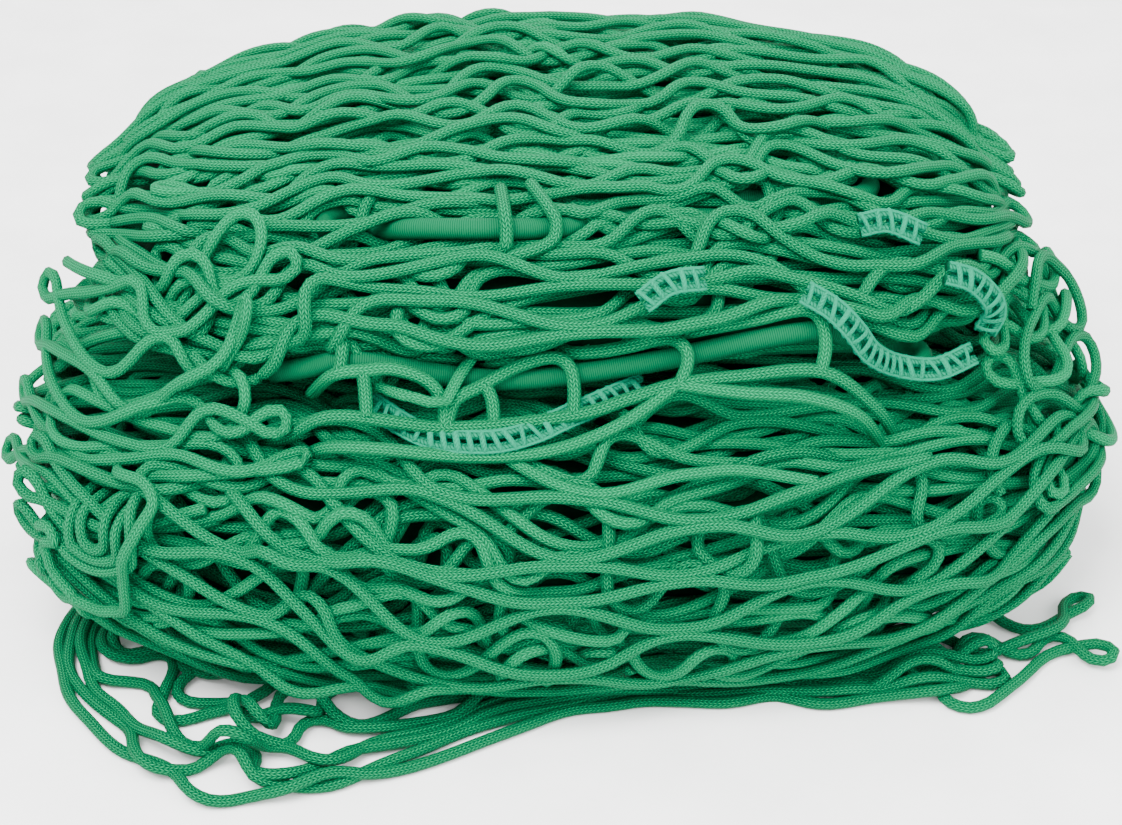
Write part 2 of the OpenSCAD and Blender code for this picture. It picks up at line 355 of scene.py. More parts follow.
@dataclass
class Apron:
    """A strip of the ground along a curved outline, widening and narrowing inwards.

    Lengths run along the outline and a girth of 0 to `depth_unit` spans the strip's width.
    """

    outline: Array
    widths: Array
    height: float
    depth_unit: float = 0.06

    def __post_init__(self) -> None:
        """Tabulates the outline by its length."""
        path = smooth_path(np.concatenate([self.outline, self.widths[:, None]], 1), 12.0)
        self.travel = np.concatenate(
            [[0.0], np.linalg.norm(np.diff(path[:, :2], axis=0), axis=1).cumsum()])
        self.path = path
        tangent = unit(np.gradient(path[:, :2], axis=0))
        self.inward = np.stack([-tangent[:, 1], tangent[:, 0]], axis=1)

    def place(self, length: Array, girth: Array, depth: Array) -> Array:
        """Points at given lengths along the outline and shares of the strip's width."""
        at = length + 0.5 * self.travel[-1]
        x, y, wide = (np.interp(at, self.travel, self.path[:, k]) for k in range(3))
        in_x, in_y = (np.interp(at, self.travel, self.inward[:, k]) for k in range(2))
        inwards = wide * np.maximum(girth / self.depth_unit, 0.0) ** 1.5
        rise = 3.0 * MM * (0.5 + 0.5 * np.sin(40.0 * length + 5.0)) * (inwards > 0.004)
        return np.stack([x + in_x * inwards, y + in_y * inwards,
                         self.height - depth + rise], axis=-1)

    def outward(self, length: Array, girth: Array) -> Array:
        """Upward unit normals."""
        return np.tile(np.array([0.0, 0.0, 1.0]), (len(length), 1))


@dataclass
class Curtain:
    """The band of netting behind the valley between the folds, which carries the hinge."""

    base: float
    back: float
    hollow: float = 4.0 * MM

    def place(self, length: Array, girth: Array, depth: Array) -> Array:
        """Points at given lengths along X and heights above the base."""
        dip = self.hollow * np.sin(math.pi * np.clip(girth / 0.05, 0.0, 1.0))
        sides = 0.02 * np.abs(length / 0.17) ** 4
        return np.stack([length, self.back - dip - sides - depth, self.base + girth], axis=-1)

    def outward(self, length: Array, girth: Array) -> Array:
        """Unit normals that face the back."""
        return np.tile(np.array([0.0, 1.0, 0.0]), (len(length), 1))


@dataclass
class Shoulder:
    """A sheet that hangs from the upper fold down to the lower one, over the crease."""

    upper: Lobe
    lower: Lobe
    top: float
    foot: float
    drop: float = 0.075
    narrowing: float = 0.86
    proud: float = 3.0 * MM

    def place(self, length: Array, girth: Array, depth: Array) -> Array:
        """Points at given lengths along the folds and distances down the sheet."""
        share = np.clip(girth / self.drop, -0.2, 1.2)[:, None]
        flat = np.zeros_like(length)
        above = self.upper.place(length * self.narrowing, flat + self.top, flat)
        below = self.lower.place(length, flat + self.foot, flat)
        point = above * (1.0 - share) + below * share
        centre = np.array([0.0, 0.02, 0.09])
        return point + unit(point - centre) * (self.proud - depth)[:, None]

    def outward(self, length: Array, girth: Array) -> Array:
        """Outward unit directions."""
        point = self.place(length, girth, np.zeros_like(length))
        return unit(point - np.array([0.0, 0.02, 0.09]))


@dataclass
class Patch:
    """A patch of netting on a surface: a lattice of two leg directions.

    A direction is (length, girth) for one leg, in metres. A region says which nodes exist,
    from the share of the way to the ends and the girth.
    """

    surface: Lobe | Ground | Apron | Curtain | Shoulder
    rising: tuple[float, float]
    falling: tuple[float, float]
    origin: tuple[float, float]
    region: Region
    depth: float
    seed: int
    pieces: tuple[str, ...]
    splits: tuple[float, ...] = ()
    wander: float = 8.0 * MM
    jitter: float = 2.5 * MM
    mess: Region | None = None
    band: tuple[float, float] = (-7.0 * MM, 3.0 * MM)
    hold: float = 0.02
    end_share: float = 0.4
    end_dive: float = 8.0 * MM
    span: int = 70
    least_legs: int = 1
    sag: float = 0.0
    hairpin: float = 40.0 * MM

    def _piece_of(self, girth: float) -> str:
        """Name of the piece that carries the twine at a girth."""
        index = sum(1 for split in self.splits if girth > split)
        return self.pieces[min(index, len(self.pieces) - 1)]

    def _to_surface(self, length: Array, girth: Array) -> tuple[Array, Array]:
        """Scales lattice lengths so that every row ends short of the pole.

        Args:
            length: Lengths in the flat lattice.
            girth: Girths in the flat lattice.

        Returns:
            Lengths on the surface, and the share of the way to the end.
        """
        lobe = self.surface
        if not isinstance(lobe, Lobe):
            return length, np.abs(length) / 10.0
        turn = lobe.turn_at(girth)
        angle = math.asin(self.end_share ** (lobe.square_end / 2.0))
        column = float(np.interp(-angle, -lobe.alongs, np.arange(len(lobe.alongs))))
        low = int(column)
        ends = lobe.reach[:, low] + (lobe.reach[:, low + 1] - lobe.reach[:, low]) * (column - low)
        limit = np.interp(turn, lobe.turns, ends)
        longest = float(ends.max())
        return length * limit / longest, np.abs(length) / longest

    def lay(self, book: NetBook) -> None:
        """Lays the patch's nodes and legs in the book.

        Args:
            book: The book that takes them.
        """
        index = np.arange(-self.span, self.span + 1)
        grid_i, grid_j = (side.ravel() for side in np.meshgrid(index, index, indexing="ij"))
        length = self.origin[0] + grid_i * self.rising[0] + grid_j * self.falling[0]
        girth = self.origin[1] + grid_i * self.rising[1] + grid_j * self.falling[1]
        girth = girth + self.sag * (1.0 - ((length - 0.03) / 0.2) ** 2)
        on_surface, share = self._to_surface(length, girth)
        kept = self.region(share if isinstance(self.surface, Lobe) else length, girth)
        kept &= share <= 1.0
        grid_i, grid_j = grid_i[kept], grid_j[kept]
        length, girth, share = on_surface[kept], girth[kept], share[kept]
        rng = np.random.default_rng(self.seed)
        slow = Ripple(self.seed + 1, 0.16)
        quick = Ripple(self.seed + 2, 0.05)
        rough = self.surface.place(length, girth, np.zeros(len(length)))
        mess = np.ones(len(length)) if self.mess is None else self.mess(length, girth)
        drift = (slow.at(rough) + 0.4 * quick.at(rough)) * self.wander
        drift += rng.normal(size=drift.shape) * self.jitter
        drift *= mess[:, None]
        length = length + drift[:, 0] * (1.0 - share ** 4)
        girth = girth + drift[:, 1] * 0.8
        dive = self.end_dive * np.clip((share - 0.85) / 0.15, 0.0, 1.0)
        depth = self.depth + np.clip(drift[:, 2] * 0.3, -1.5 * MM, 3.0 * MM) + dive
        where = self.surface.place(length, girth, depth)
        outward = self.surface.outward(length, girth)
        numbers = book.add_points(where, outward, self.band, self.hold)
        self._node = {(int(a), int(b)): n for n, (a, b) in enumerate(zip(grid_i, grid_j))}
        self._spot = np.stack([length, girth, depth, numbers], axis=1)
        self._lay_rows(book)

    def _lay_rows(self, book: NetBook) -> None:
        """Lays the legs and joins them to strands.

        Knotless netting is knitted so that each twine goes to and fro between two rows of
        joints: it lies beside the next twine at a joint and never crosses it.
        """
        gaps = {i - j for i, j in self._node}
        self._rows: list[tuple[list[int], list[int], float]] = []
        for row in range(min(gaps) - 1, max(gaps) + 1):
            run: list[int] = []
            sides: list[int] = []
            girths: list[float] = []
            before = None
            for step in range(-2 * self.span, 2 * self.span + 1):
                lean = row if (step - row) % 2 == 0 else row + 1
                key = ((step + lean) // 2, (step - lean) // 2)
                number = self._node.get(key)
                if number is None:
                    self._close(run, sides, girths, book.size.steps)
                    run, sides, girths, before = [], [], [], None
                    continue
                spot = self._spot[number]
                if before is not None:
                    leg = self._leg(book, before, spot)
                    run += leg
                    sides += [0] * len(leg)
                run.append(int(spot[3]))
                sides.append(-1 if lean > row else 1)
                girths.append(float(spot[1]))
                before = spot
            self._close(run, sides, girths, book.size.steps)
        self._join(book)

    def _close(self, run: list[int], sides: list[int], girths: list[float],
               steps: int) -> None:
        """Keeps a finished row if it is long enough."""
        if len(run) > self.least_legs * steps:
            self._rows.append((run, sides, float(np.mean(girths))))

    def _join(self, book: NetBook) -> None:
        """Joins neighbouring rows by hairpin turns at alternate ends."""
        points = np.concatenate(book.points)
        place = ""
        whole: list[int] = []
        whole_sides: list[int] = []
        for run, sides, girth in self._rows:
            piece = self._piece_of(girth)
            if whole and piece == place:
                forward = np.linalg.norm(points[whole[-1]] - points[run[0]])
                backward = np.linalg.norm(points[whole[-1]] - points[run[-1]])
                if backward < forward:
                    run, sides = run[::-1], sides[::-1]
                if min(forward, backward) < self.hairpin:
                    turn = self._turn(book, points, whole[-2:], run[:2])
                    whole += turn + run
                    whole_sides += [0] * len(turn) + sides
                    continue
            if whole:
                book.strands.append(Strand(place, whole, whole_sides))
            whole, whole_sides, place = list(run), list(sides), piece
        if whole:
            book.strands.append(Strand(place, whole, whole_sides))

    def _turn(self, book: NetBook, points: Array, leaving: list[int],
              arriving: list[int]) -> list[int]:
        """Lays a hairpin turn from the end of one row to the start of the next."""
        first, last = points[leaving[1]], points[arriving[0]]
        out = unit(first - points[leaving[0]] + last - points[arriving[1]])
        reach = float(book.rng.uniform(0.8, 1.5)) * 11.0 * MM
        share = (np.arange(1, 5) / 5.0)[:, None]
        arc = first + (last - first) * share + out * reach * np.sin(math.pi * share)
        arc += book.rng.normal(size=3) * 2.0 * MM * np.sin(math.pi * share)
        outward = np.tile(self._node_normal(book, leaving[1]), (4, 1))
        return [int(n) for n in book.add_points(arc, outward, self.band, 0.0)]

    @staticmethod
    def _node_normal(book: NetBook, number: int) -> Array:
        """The outward direction at a particle."""
        for normals in book.normals:
            if number < len(normals):
                return normals[number]
            number -= len(normals)
        return np.array([0.0, 0.0, 1.0])

    def _leg(self, book: NetBook, first: Array, second: Array) -> list[int]:
        """Lays the particles of one leg between two nodes, bowed by its slack.

        Args:
            book: The book that takes them.
            first: Length, girth and depth of the first node.
            second: The same for the second node.

        Returns:
            The particles' numbers.
        """
        size = book.size
        share = np.arange(1, size.steps) / size.steps
        across = second[1] - first[1]
        forward = second[0] - first[0]
        chord = max(math.hypot(forward, across), 1e-4)
        slack = max(0.0, size.leg / chord - 1.0)
        bow = min(0.3 * size.leg, math.sqrt(slack) * size.leg / math.pi)
        wave = 1 if book.rng.random() < 0.65 else 2
        side = book.rng.choice([-1.0, 1.0]) * bow * np.sin(math.pi * wave * share)
        lift = book.rng.normal() * 0.3 * bow * np.sin(math.pi * share)
        length = first[0] + forward * share - side * across / chord
        girth = first[1] + across * share + side * forward / chord
        depth = first[2] + (second[2] - first[2]) * share - lift
        where = self.surface.place(length, girth, depth)
        outward = self.surface.outward(length, girth)
        return [int(n) for n in book.add_points(where, outward, self.band, 0.0)]


class Relaxer:
    """Moves the particles until legs keep their length and twines lie beside each other."""

    def __init__(self, book: NetBook, floor: float, outs: Sequence["KeepOut"]) -> None:
        """Collects the book's particles and builds its constraints.

        Args:
            book: The netting.
            floor: Height of the surface that the net lies on.
            outs: Paths that the netting stays clear of.
        """
        size = book.size
        self.outs = outs
        self.stiffness = 0.5
        self.hurry = 1.3
        self.size = size
        self.floor = floor + 0.6 * size.diameter
        self.start = np.concatenate(book.points)
        self.place = self.start.copy()
        self.normal = np.concatenate(book.normals)
        self.band = np.concatenate(book.bands)
        self.hold = np.concatenate(book.holds)[:, None]
        links = [np.array([run.particles[:-1], run.particles[1:]]).T for run in book.strands]
        self.links = np.concatenate(links)
        skips = [np.array([run.particles[:-2], run.particles[2:]]).T for run in book.strands
                 if len(run.particles) > 2]
        self.skips = np.concatenate(skips)
        bends = [np.array([run.particles[:-2], run.particles[1:-1], run.particles[2:]]).T
                 for run in book.strands if len(run.particles) > 2]
        self.bends = np.concatenate(bends)
        self._index_joints(book)

    def _index_joints(self, book: NetBook) -> None:
        """Finds each sample's nearest joint, so that crossing twines may touch there."""
        uses = np.bincount(self.links.ravel(), minlength=book.count)
        is_joint = uses > 2
        near = np.full(book.count, -1)
        gap = np.full(book.count, 99)
        for run in book.strands:
            ids = run.particles
            marks = [i for i, number in enumerate(ids) if is_joint[number]]
            if not marks:
                continue
            marks_array = np.array(marks)
            for i, number in enumerate(ids):
                nearest = int(np.argmin(np.abs(marks_array - i)))
                steps = abs(int(marks_array[nearest]) - i)
                if steps < gap[number]:
                    gap[number] = steps
                    near[number] = ids[int(marks_array[nearest])]
        first, second = self.links[:, 0], self.links[:, 1]
        closer = np.where(gap[first] <= gap[second], first, second)
        self.sample_a = np.concatenate([np.arange(book.count), first])
        self.sample_b = np.concatenate([np.arange(book.count), second])
        self.sample_joint = np.concatenate([near, near[closer]])
        self.sample_gap = np.concatenate([gap.astype(float), gap[closer] + 0.5])

    def _pairs(self) -> tuple[Array, Array]:
        """Samples that are near enough to touch soon."""
        spots = 0.5 * (self.place[self.sample_a] + self.place[self.sample_b])
        cell = self.size.contact * 1.35
        index = np.floor((spots - spots.min(0)) / cell).astype(np.int64) + 1
        span = index.max(0) + 2
        key = (index[:, 0] * span[1] + index[:, 1]) * span[2] + index[:, 2]
        order = np.argsort(key, kind="stable")
        ranked = key[order]
        found_a: list[Array] = []
        found_b: list[Array] = []
        for dx, dy in ((0, 0), (0, 1), (1, -1), (1, 0), (1, 1)):
            shift = (dx * span[1] + dy) * span[2]
            low = np.searchsorted(ranked, key[order] + shift - 1, "left")
            high = np.searchsorted(ranked, key[order] + shift + 1, "right")
            if dx == 0 and dy == 0:
                low = np.maximum(low, np.arange(len(order)) + 1)
            counts = np.maximum(high - low, 0)
            total = int(counts.sum())
            left = np.repeat(np.arange(len(order)), counts)
            offset = np.arange(total) - np.repeat(counts.cumsum() - counts, counts)
            right = np.repeat(low, counts) + offset
            found_a.append(order[left])
            found_b.append(order[right])
        first = np.concatenate(found_a)
        second = np.concatenate(found_b)
        apart = spots[first] - spots[second]
        near = (apart * apart).sum(1) < cell * cell
        first, second = first[near], second[near]
        return self._allowed(first, second)

    def _allowed(self, first: Array, second: Array) -> tuple[Array, Array]:
        """Drops pairs that share a particle or meet in the same joint."""
        a1, b1 = self.sample_a[first], self.sample_b[first]
        a2, b2 = self.sample_a[second], self.sample_b[second]
        shared = (a1 == a2) | (a1 == b2) | (b1 == a2) | (b1 == b2)
        reach = self.size.joint_reach / self.size.step
        close = (self.sample_joint[first] == self.sample_joint[second])
        close &= (self.sample_joint[first] >= 0)
        close &= (self.sample_gap[first] <= reach) & (self.sample_gap[second] <= reach)
        tied = np.abs(a1 - a2) <= 1
        keep = ~(shared | close | tied)
        return first[keep], second[keep]

    def run(self, passes: int, refresh: int = 8) -> Array:
        """Relaxes the netting.

        Args:
            passes: Number of passes.
            refresh: Passes between two searches for touching twines.

        Returns:
            Where the particles come to rest.
        """
        size = self.size
        count = len(self.place)
        link_a, link_b = self.links.T
        skip_a, skip_b = self.skips.T
        least = 1.9 * size.step
        pair_a = pair_b = np.zeros(0, int)
        for step in range(passes):
            if step % refresh == 0:
                pair_a, pair_b = self._pairs()
            place = self.place
            index: list[Array] = []
            moves: list[Array] = []
            apart = place[link_b] - place[link_a]
            length = np.linalg.norm(apart, axis=1, keepdims=True)
            push = apart * (0.5 * (length - size.step) / np.maximum(length, 1e-7))
            index += [link_a, link_b]
            moves += [push, -push]
            apart = place[skip_b] - place[skip_a]
            length = np.linalg.norm(apart, axis=1, keepdims=True)
            tight = (length[:, 0] < least)
            push = apart[tight] * (0.25 * (length[tight] - least) / np.maximum(length[tight], 1e-7))
            index += [skip_a[tight], skip_b[tight]]
            moves += [push, -push]
            a1, b1 = self.sample_a[pair_a], self.sample_b[pair_a]
            a2, b2 = self.sample_a[pair_b], self.sample_b[pair_b]
            apart = 0.5 * (place[a2] + place[b2] - place[a1] - place[b1])
            length = np.linalg.norm(apart, axis=1, keepdims=True)
            hit = length[:, 0] < size.contact
            push = apart[hit] * (0.5 * (length[hit] - size.contact) / np.maximum(length[hit], 1e-7))
            index += [a1[hit], b1[hit], a2[hit], b2[hit]]
            moves += [push, push, -push, -push]
            before, middle, after = self.bends.T
            bend = 0.5 * (place[before] + place[after]) - place[middle]
            index += [middle, before, after]
            moves += [bend * self.stiffness, -0.5 * self.stiffness * bend,
                      -0.5 * self.stiffness * bend]
            ids = np.concatenate(index)
            steps = np.concatenate(moves)
            weight = np.bincount(ids, minlength=count)
            total = np.stack([np.bincount(ids, weights=steps[:, k], minlength=count)
                              for k in range(3)], axis=1)
            place = place + self.hurry * total / np.maximum(weight, 1)[:, None]
            place += self.hold * (self.start - place)
            drift = ((place - self.start) * self.normal).sum(1)
            bounded = np.clip(drift, self.band[:, 0], self.band[:, 1])
            place += self.normal * (bounded - drift)[:, None]
            for out in self.outs:
                out.push(place)
            place[:, 2] = np.maximum(place[:, 2], self.floor)
            self.place = place
        return self.place


# ---------------------------------------------------------------------------------------
# Keeping the net clear of the elastic
# ---------------------------------------------------------------------------------------


@dataclass
class KeepOut:
    """A round path that twine is pushed away from."""

    path: Array
    radius: float

    def push(self, place: Array) -> None:
        """Moves points inside the path's radius out to its surface, in place.

        Args:
            place: Rows of three coordinates.
        """
        low = self.path.min(0) - self.radius
        high = self.path.max(0) + self.radius
        inside = np.nonzero(((place > low) & (place < high)).all(1))[0]
        if not len(inside):
            return
        points = place[inside][:, None, :]
        start = self.path[:-1][None]
        step = (self.path[1:] - self.path[:-1])[None]
        share = ((points - start) * step).sum(2) / np.maximum((step * step).sum(2), 1e-12)
        foot = start + step * np.clip(share, 0.0, 1.0)[:, :, None]
        apart = points - foot
        gap = np.linalg.norm(apart, axis=2)
        best = gap.argmin(1)
        row = np.arange(len(inside))
        gap, apart, foot = gap[row, best], apart[row, best], foot[row, best]
        near = gap < self.radius
        moved = foot[near] + apart[near] * (self.radius / np.maximum(gap[near], 1e-6))[:, None]
        place[inside[near]] = moved


# ---------------------------------------------------------------------------------------
# Sweeping twine into meshes
# ---------------------------------------------------------------------------------------


def smooth_path(points: Array, per_step: float) -> Array:
    """A smooth curve through points, at even parameter steps.

    Args:
        points: Rows of coordinates.
        per_step: Number of new points for each given one.

    Returns:
        Rows of coordinates on the curve.
    """
    if len(points) < 3:
        points = np.stack([points[0], 0.5 * (points[0] + points[-1]), points[-1]])
    before = 2 * points[:1] - points[1:2]
    after = 2 * points[-1:] - points[-2:-1]
    knots = np.concatenate([before, points, after])
    count = max(3, int(round((len(points) - 1) * per_step)) + 1)
    spot = np.linspace(0.0, len(points) - 1.0, count)
    low = np.minimum(spot.astype(int), len(points) - 2)
    t = (spot - low)[:, None]
    a, b, c, d = (knots[low + k] for k in range(4))
    linear = (c - a) * t
    square = (2 * a - 5 * b + 4 * c - d) * t ** 2
    cube = (3 * b - a - 3 * c + d) * t ** 3
    return 0.5 * (2 * b + linear + square + cube)


@dataclass
class Sweep:
    """Gathers swept cords of one piece and makes a single mesh of them."""

    name: str
    sides: int = 8
    verts: list[Array] = field(default_factory=list)
    faces: list[Array] = field(default_factory=list)
    caps: list[Array] = field(default_factory=list)
    coords: list[Array] = field(default_factory=list)
    tones: list[Array] = field(default_factory=list)
    count: int = 0
    length: float = 0.0

    def cord(self, path: Array, normals: Array, wide: float, thick: float, tone: float,
             closed: bool = False) -> None:
        """Adds one cord.

        Args:
            path: Its centre line.
            normals: A direction for the thin side of its section at each point.
            wide: Width of the section.
            thick: Thickness of the section.
            tone: A number from 0 to 1 that varies its colour.
            closed: Whether the path closes on itself.
        """
        tangent = unit(np.gradient(path, axis=0))
        if closed:
            tangent = unit(np.roll(path, -1, 0) - np.roll(path, 1, 0))
        thin = normals - (normals * tangent).sum(1, keepdims=True) * tangent
        thin = unit(thin)
        broad = np.cross(tangent, thin)
        angle = np.linspace(0.0, 2.0 * math.pi, self.sides, endpoint=False)
        ring = (broad[:, None] * (0.5 * wide * np.cos(angle))[None, :, None]
                + thin[:, None] * (0.5 * thick * np.sin(angle))[None, :, None])
        rings = len(path)
        self.verts.append((path[:, None] + ring).reshape(-1, 3))
        run = np.arange(rings if closed else rings - 1)
        here = run[:, None] * self.sides + np.arange(self.sides)[None]
        after = ((run[:, None] + 1) % rings) * self.sides + np.arange(self.sides)[None]
        turned = np.roll(here, -1, 1)
        after_turned = np.roll(after, -1, 1)
        quads = np.stack([here, turned, after_turned, after], axis=2).reshape(-1, 4)
        self.faces.append(quads + self.count)
        travel = np.linalg.norm(np.diff(path, axis=0, append=path[:1]), axis=1).cumsum()
        travel = np.concatenate([[0.0], travel])
        along = np.stack([travel[run], travel[run], travel[run + 1], travel[run + 1]], axis=1)
        along = np.repeat(along[:, None], self.sides, axis=1).reshape(-1, 4)
        around = np.arange(self.sides) / self.sides
        step = 1.0 / self.sides
        quad_around = np.stack([around, around + step, around + step, around], axis=1)
        quad_around = np.tile(quad_around, (len(run), 1))
        self.coords.append(np.stack([along, quad_around], axis=2).reshape(-1, 2))
        if not closed:
            first = np.arange(self.sides)[::-1] + self.count
            last = np.arange(self.sides) + (rings - 1) * self.sides + self.count
            self.caps += [first, last]
        self.tones.append(np.full(rings * self.sides, tone))
        self.count += rings * self.sides
        self.length += float(np.linalg.norm(np.diff(path, axis=0), axis=1).sum())

    def build(self) -> bpy.types.Object:
        """Makes the mesh object.

        Returns:
            The new object, with a length-and-turn map and a tone for each cord.
        """
        verts = np.concatenate(self.verts)
        quads = np.concatenate(self.faces)
        cap_loops = np.concatenate(self.caps) if self.caps else np.zeros(0, int)
        loops = np.concatenate([quads.ravel(), cap_loops])
        starts = np.concatenate([np.arange(len(quads)) * 4,
                                 len(quads) * 4 + np.arange(len(self.caps)) * self.sides])
        mesh = bpy.data.meshes.new(self.name)
        mesh.vertices.add(len(verts))
        mesh.vertices.foreach_set("co", verts.astype(np.float32).ravel())
        mesh.loops.add(len(loops))
        mesh.loops.foreach_set("vertex_index", loops.astype(np.int32))
        mesh.polygons.add(len(starts))
        mesh.polygons.foreach_set("loop_start", starts.astype(np.int32))
        mesh.polygons.foreach_set("use_smooth", np.ones(len(starts), bool))
        uv_map = mesh.uv_layers.new(name="cord")
        cap_map = np.zeros((len(cap_loops), 2))
        uv = np.concatenate(self.coords + [cap_map]).astype(np.float32)
        uv_map.data.foreach_set("uv", uv.ravel())
        tone = mesh.attributes.new("tone", "FLOAT", "POINT")
        tone.data.foreach_set("value", np.concatenate(self.tones).astype(np.float32))
        mesh.update(calc_edges=True)
        mesh.validate()
        piece = bpy.data.objects.new(self.name, mesh)
        bpy.context.scene.collection.objects.link(piece)
        return piece


# ---------------------------------------------------------------------------------------
# Shaders
# ---------------------------------------------------------------------------------------


class Shader:
    """A material's node tree, built one node at a time."""

    def __init__(self, name: str) -> None:
        """Starts a material with an empty tree."""
        self.material = bpy.data.materials.new(name)
        self.material.use_nodes = True
        self.tree = self.material.node_tree
        self.tree.nodes.clear()

    def node(self, kind: str, inputs: dict | None = None, **settings: Any) -> bpy.types.Node:
        """Adds a node.

        Args:
            kind: Blender's type name.
            inputs: Values or sockets for its inputs, by name or number.
            **settings: The node's own properties.

        Returns:
            The node.
        """
        made = self.tree.nodes.new(kind)
        for key, value in settings.items():
            setattr(made, key, value)
        for key, value in (inputs or {}).items():
            if isinstance(value, Wire):
                self.tree.links.new(value.socket, made.inputs[key])
            else:
                made.inputs[key].default_value = value
        return made

    def wire(self, kind: str, inputs: dict | None = None, output: str | int = 0,
             **settings: Any) -> "Wire":
        """Adds a node and wraps one of its outputs."""
        return Wire(self, self.node(kind, inputs, **settings).outputs[output])

    def ramp(self, value: "Wire", low: tuple, high: tuple) -> "Wire":
        """Mixes two colours by a value from 0 to 1."""
        made = self.node("ShaderNodeMix", {0: value}, data_type="RGBA")
        made.inputs[6].default_value = (*low, 1.0)
        made.inputs[7].default_value = (*high, 1.0)
        return Wire(self, made.outputs[2])

    def finish(self, inputs: dict) -> bpy.types.Material:
        """Closes the tree with a principled surface.

        Args:
            inputs: The surface's inputs.

        Returns:
            The material.
        """
        surface = self.node("ShaderNodeBsdfPrincipled", inputs)
        output = self.node("ShaderNodeOutputMaterial")
        self.tree.links.new(surface.outputs[0], output.inputs[0])
        return self.material


class Wire:
    """A shader value that can be reckoned with."""

    def __init__(self, shader: Shader, socket: bpy.types.NodeSocket) -> None:
        """Wraps an output socket."""
        self.shader = shader
        self.socket = socket

    def _math(self, operation: str, *others: Any) -> "Wire":
        """Adds a maths node whose first input is this value."""
        inputs = {0: self}
        inputs.update({i + 1: other for i, other in enumerate(others)})
        return self.shader.wire("ShaderNodeMath", inputs, operation=operation)

    def __add__(self, other: Any) -> "Wire":
        """The sum."""
        return self._math("ADD", other)

    def __sub__(self, other: Any) -> "Wire":
        """The difference."""
        return self._math("SUBTRACT", other)

    def __mul__(self, other: Any) -> "Wire":
        """The product."""
        return self._math("MULTIPLY", other)

    def __radd__(self, other: Any) -> "Wire":
        """The sum with a plain number first."""
        return self._math("ADD", other)

    def __rmul__(self, other: Any) -> "Wire":
        """The product with a plain number first."""
        return self._math("MULTIPLY", other)

    def sin(self) -> "Wire":
        """The sine."""
        return self._math("SINE")

    def size(self) -> "Wire":
        """The value without its sign."""
        return self._math("ABSOLUTE")

    def power(self, exponent: float) -> "Wire":
        """A power."""
        return self._math("POWER", exponent)

    def fraction(self) -> "Wire":
        """The part after the point."""
        return self._math("FRACT")

    def span(self, low: float, high: float) -> "Wire":
        """The value carried from a range to 0 and 1, and held there."""
        inputs = {0: self, 1: low, 2: high}
        return self.shader.wire("ShaderNodeMapRange", inputs, clamp=True)


@dataclass(frozen=True)
class BraidFinish:
    """Braided yarn: a chevron relief, with a tone that varies from cord to cord, and painted shade
    that darkens the relief's grooves.
    """

    name: str
    dark_tone_and_groove_shade: tuple[float, float, float]
    bright: tuple[float, float, float]
    stitch: float = 3.0 * MM
    strands: float = 4.0
    relief: float = 0.35 * MM
    roughness: float = 0.55
    tone_share: float = 0.3

    def make(self) -> bpy.types.Material:
        """Builds the material."""
        shader = Shader(self.name)
        uv = shader.node("ShaderNodeUVMap", uv_map="cord")
        parts = shader.node("ShaderNodeSeparateXYZ", {0: Wire(shader, uv.outputs[0])})
        along = Wire(shader, parts.outputs[0]) * (1.0 / self.stitch)
        around = Wire(shader, parts.outputs[1]) * self.strands
        fold = ((around.fraction() - 0.5).size() * 2.0)
        phase = (along + fold * 0.9).fraction()
        bead = (phase * math.pi).sin().size().power(0.8)
        groove = (fold * math.pi).sin().size().power(0.5)
        yarn = bead * groove
        fibre = shader.wire("ShaderNodeTexNoise", {
            "Vector": shader.wire("ShaderNodeTexCoord", output="Object"),
            "Scale": 1100.0, "Detail": 2.0}, output=0)
        tone = shader.wire("ShaderNodeAttribute", output="Fac", attribute_name="tone")
        # Painted shade: the colour is darker where the braid relief sinks, between stitches and
        # strands; the cord tone and the fibre grain are real variation.
        value = (tone * self.tone_share + fibre * 0.4 + yarn * 0.8).span(0.25, 1.15)
        colour = shader.ramp(value, self.dark_tone_and_groove_shade, self.bright)
        height = yarn + fibre * 0.5
        bump = shader.wire("ShaderNodeBump", {
            "Height": height, "Distance": self.relief, "Strength": 1.0})
        rough = fibre * 0.2 + (self.roughness - 0.1)
        return shader.finish({"Base Color": colour, "Roughness": rough, "Normal": bump,
                              "Specular IOR Level": 0.03})


@dataclass(frozen=True)
class RibFinish:
    """A smooth woven cover with fine ribs along the cord, and painted shade that darkens it between
    the ribs.
    """

    name: str
    dark_tone_and_groove_shade: tuple[float, float, float]
    bright: tuple[float, float, float]
    pitch: float = 0.8 * MM
    ribs: float = 1.0

    def make(self) -> bpy.types.Material:
        """Builds the material."""
        shader = Shader(self.name)
        uv = shader.node("ShaderNodeUVMap", uv_map="cord")
        parts = shader.node("ShaderNodeSeparateXYZ", {0: Wire(shader, uv.outputs[0])})
        along = Wire(shader, parts.outputs[0]) * (1.0 / self.pitch)
        around = Wire(shader, parts.outputs[1]) * self.ribs
        rib_relief_and_shade = ((along + around) * math.pi).sin().size().power(0.6)
        # Painted shade: the colour follows the rib relief and is darker between the ribs.
        colour = shader.ramp(rib_relief_and_shade.span(0.0, 1.0), self.dark_tone_and_groove_shade, self.bright)
        bump = shader.wire("ShaderNodeBump", {
            "Height": rib_relief_and_shade, "Distance": 0.12 * MM, "Strength": 0.8})
        return shader.finish({"Base Color": colour, "Roughness": 0.6, "Normal": bump,
                              "Specular IOR Level": 0.03})


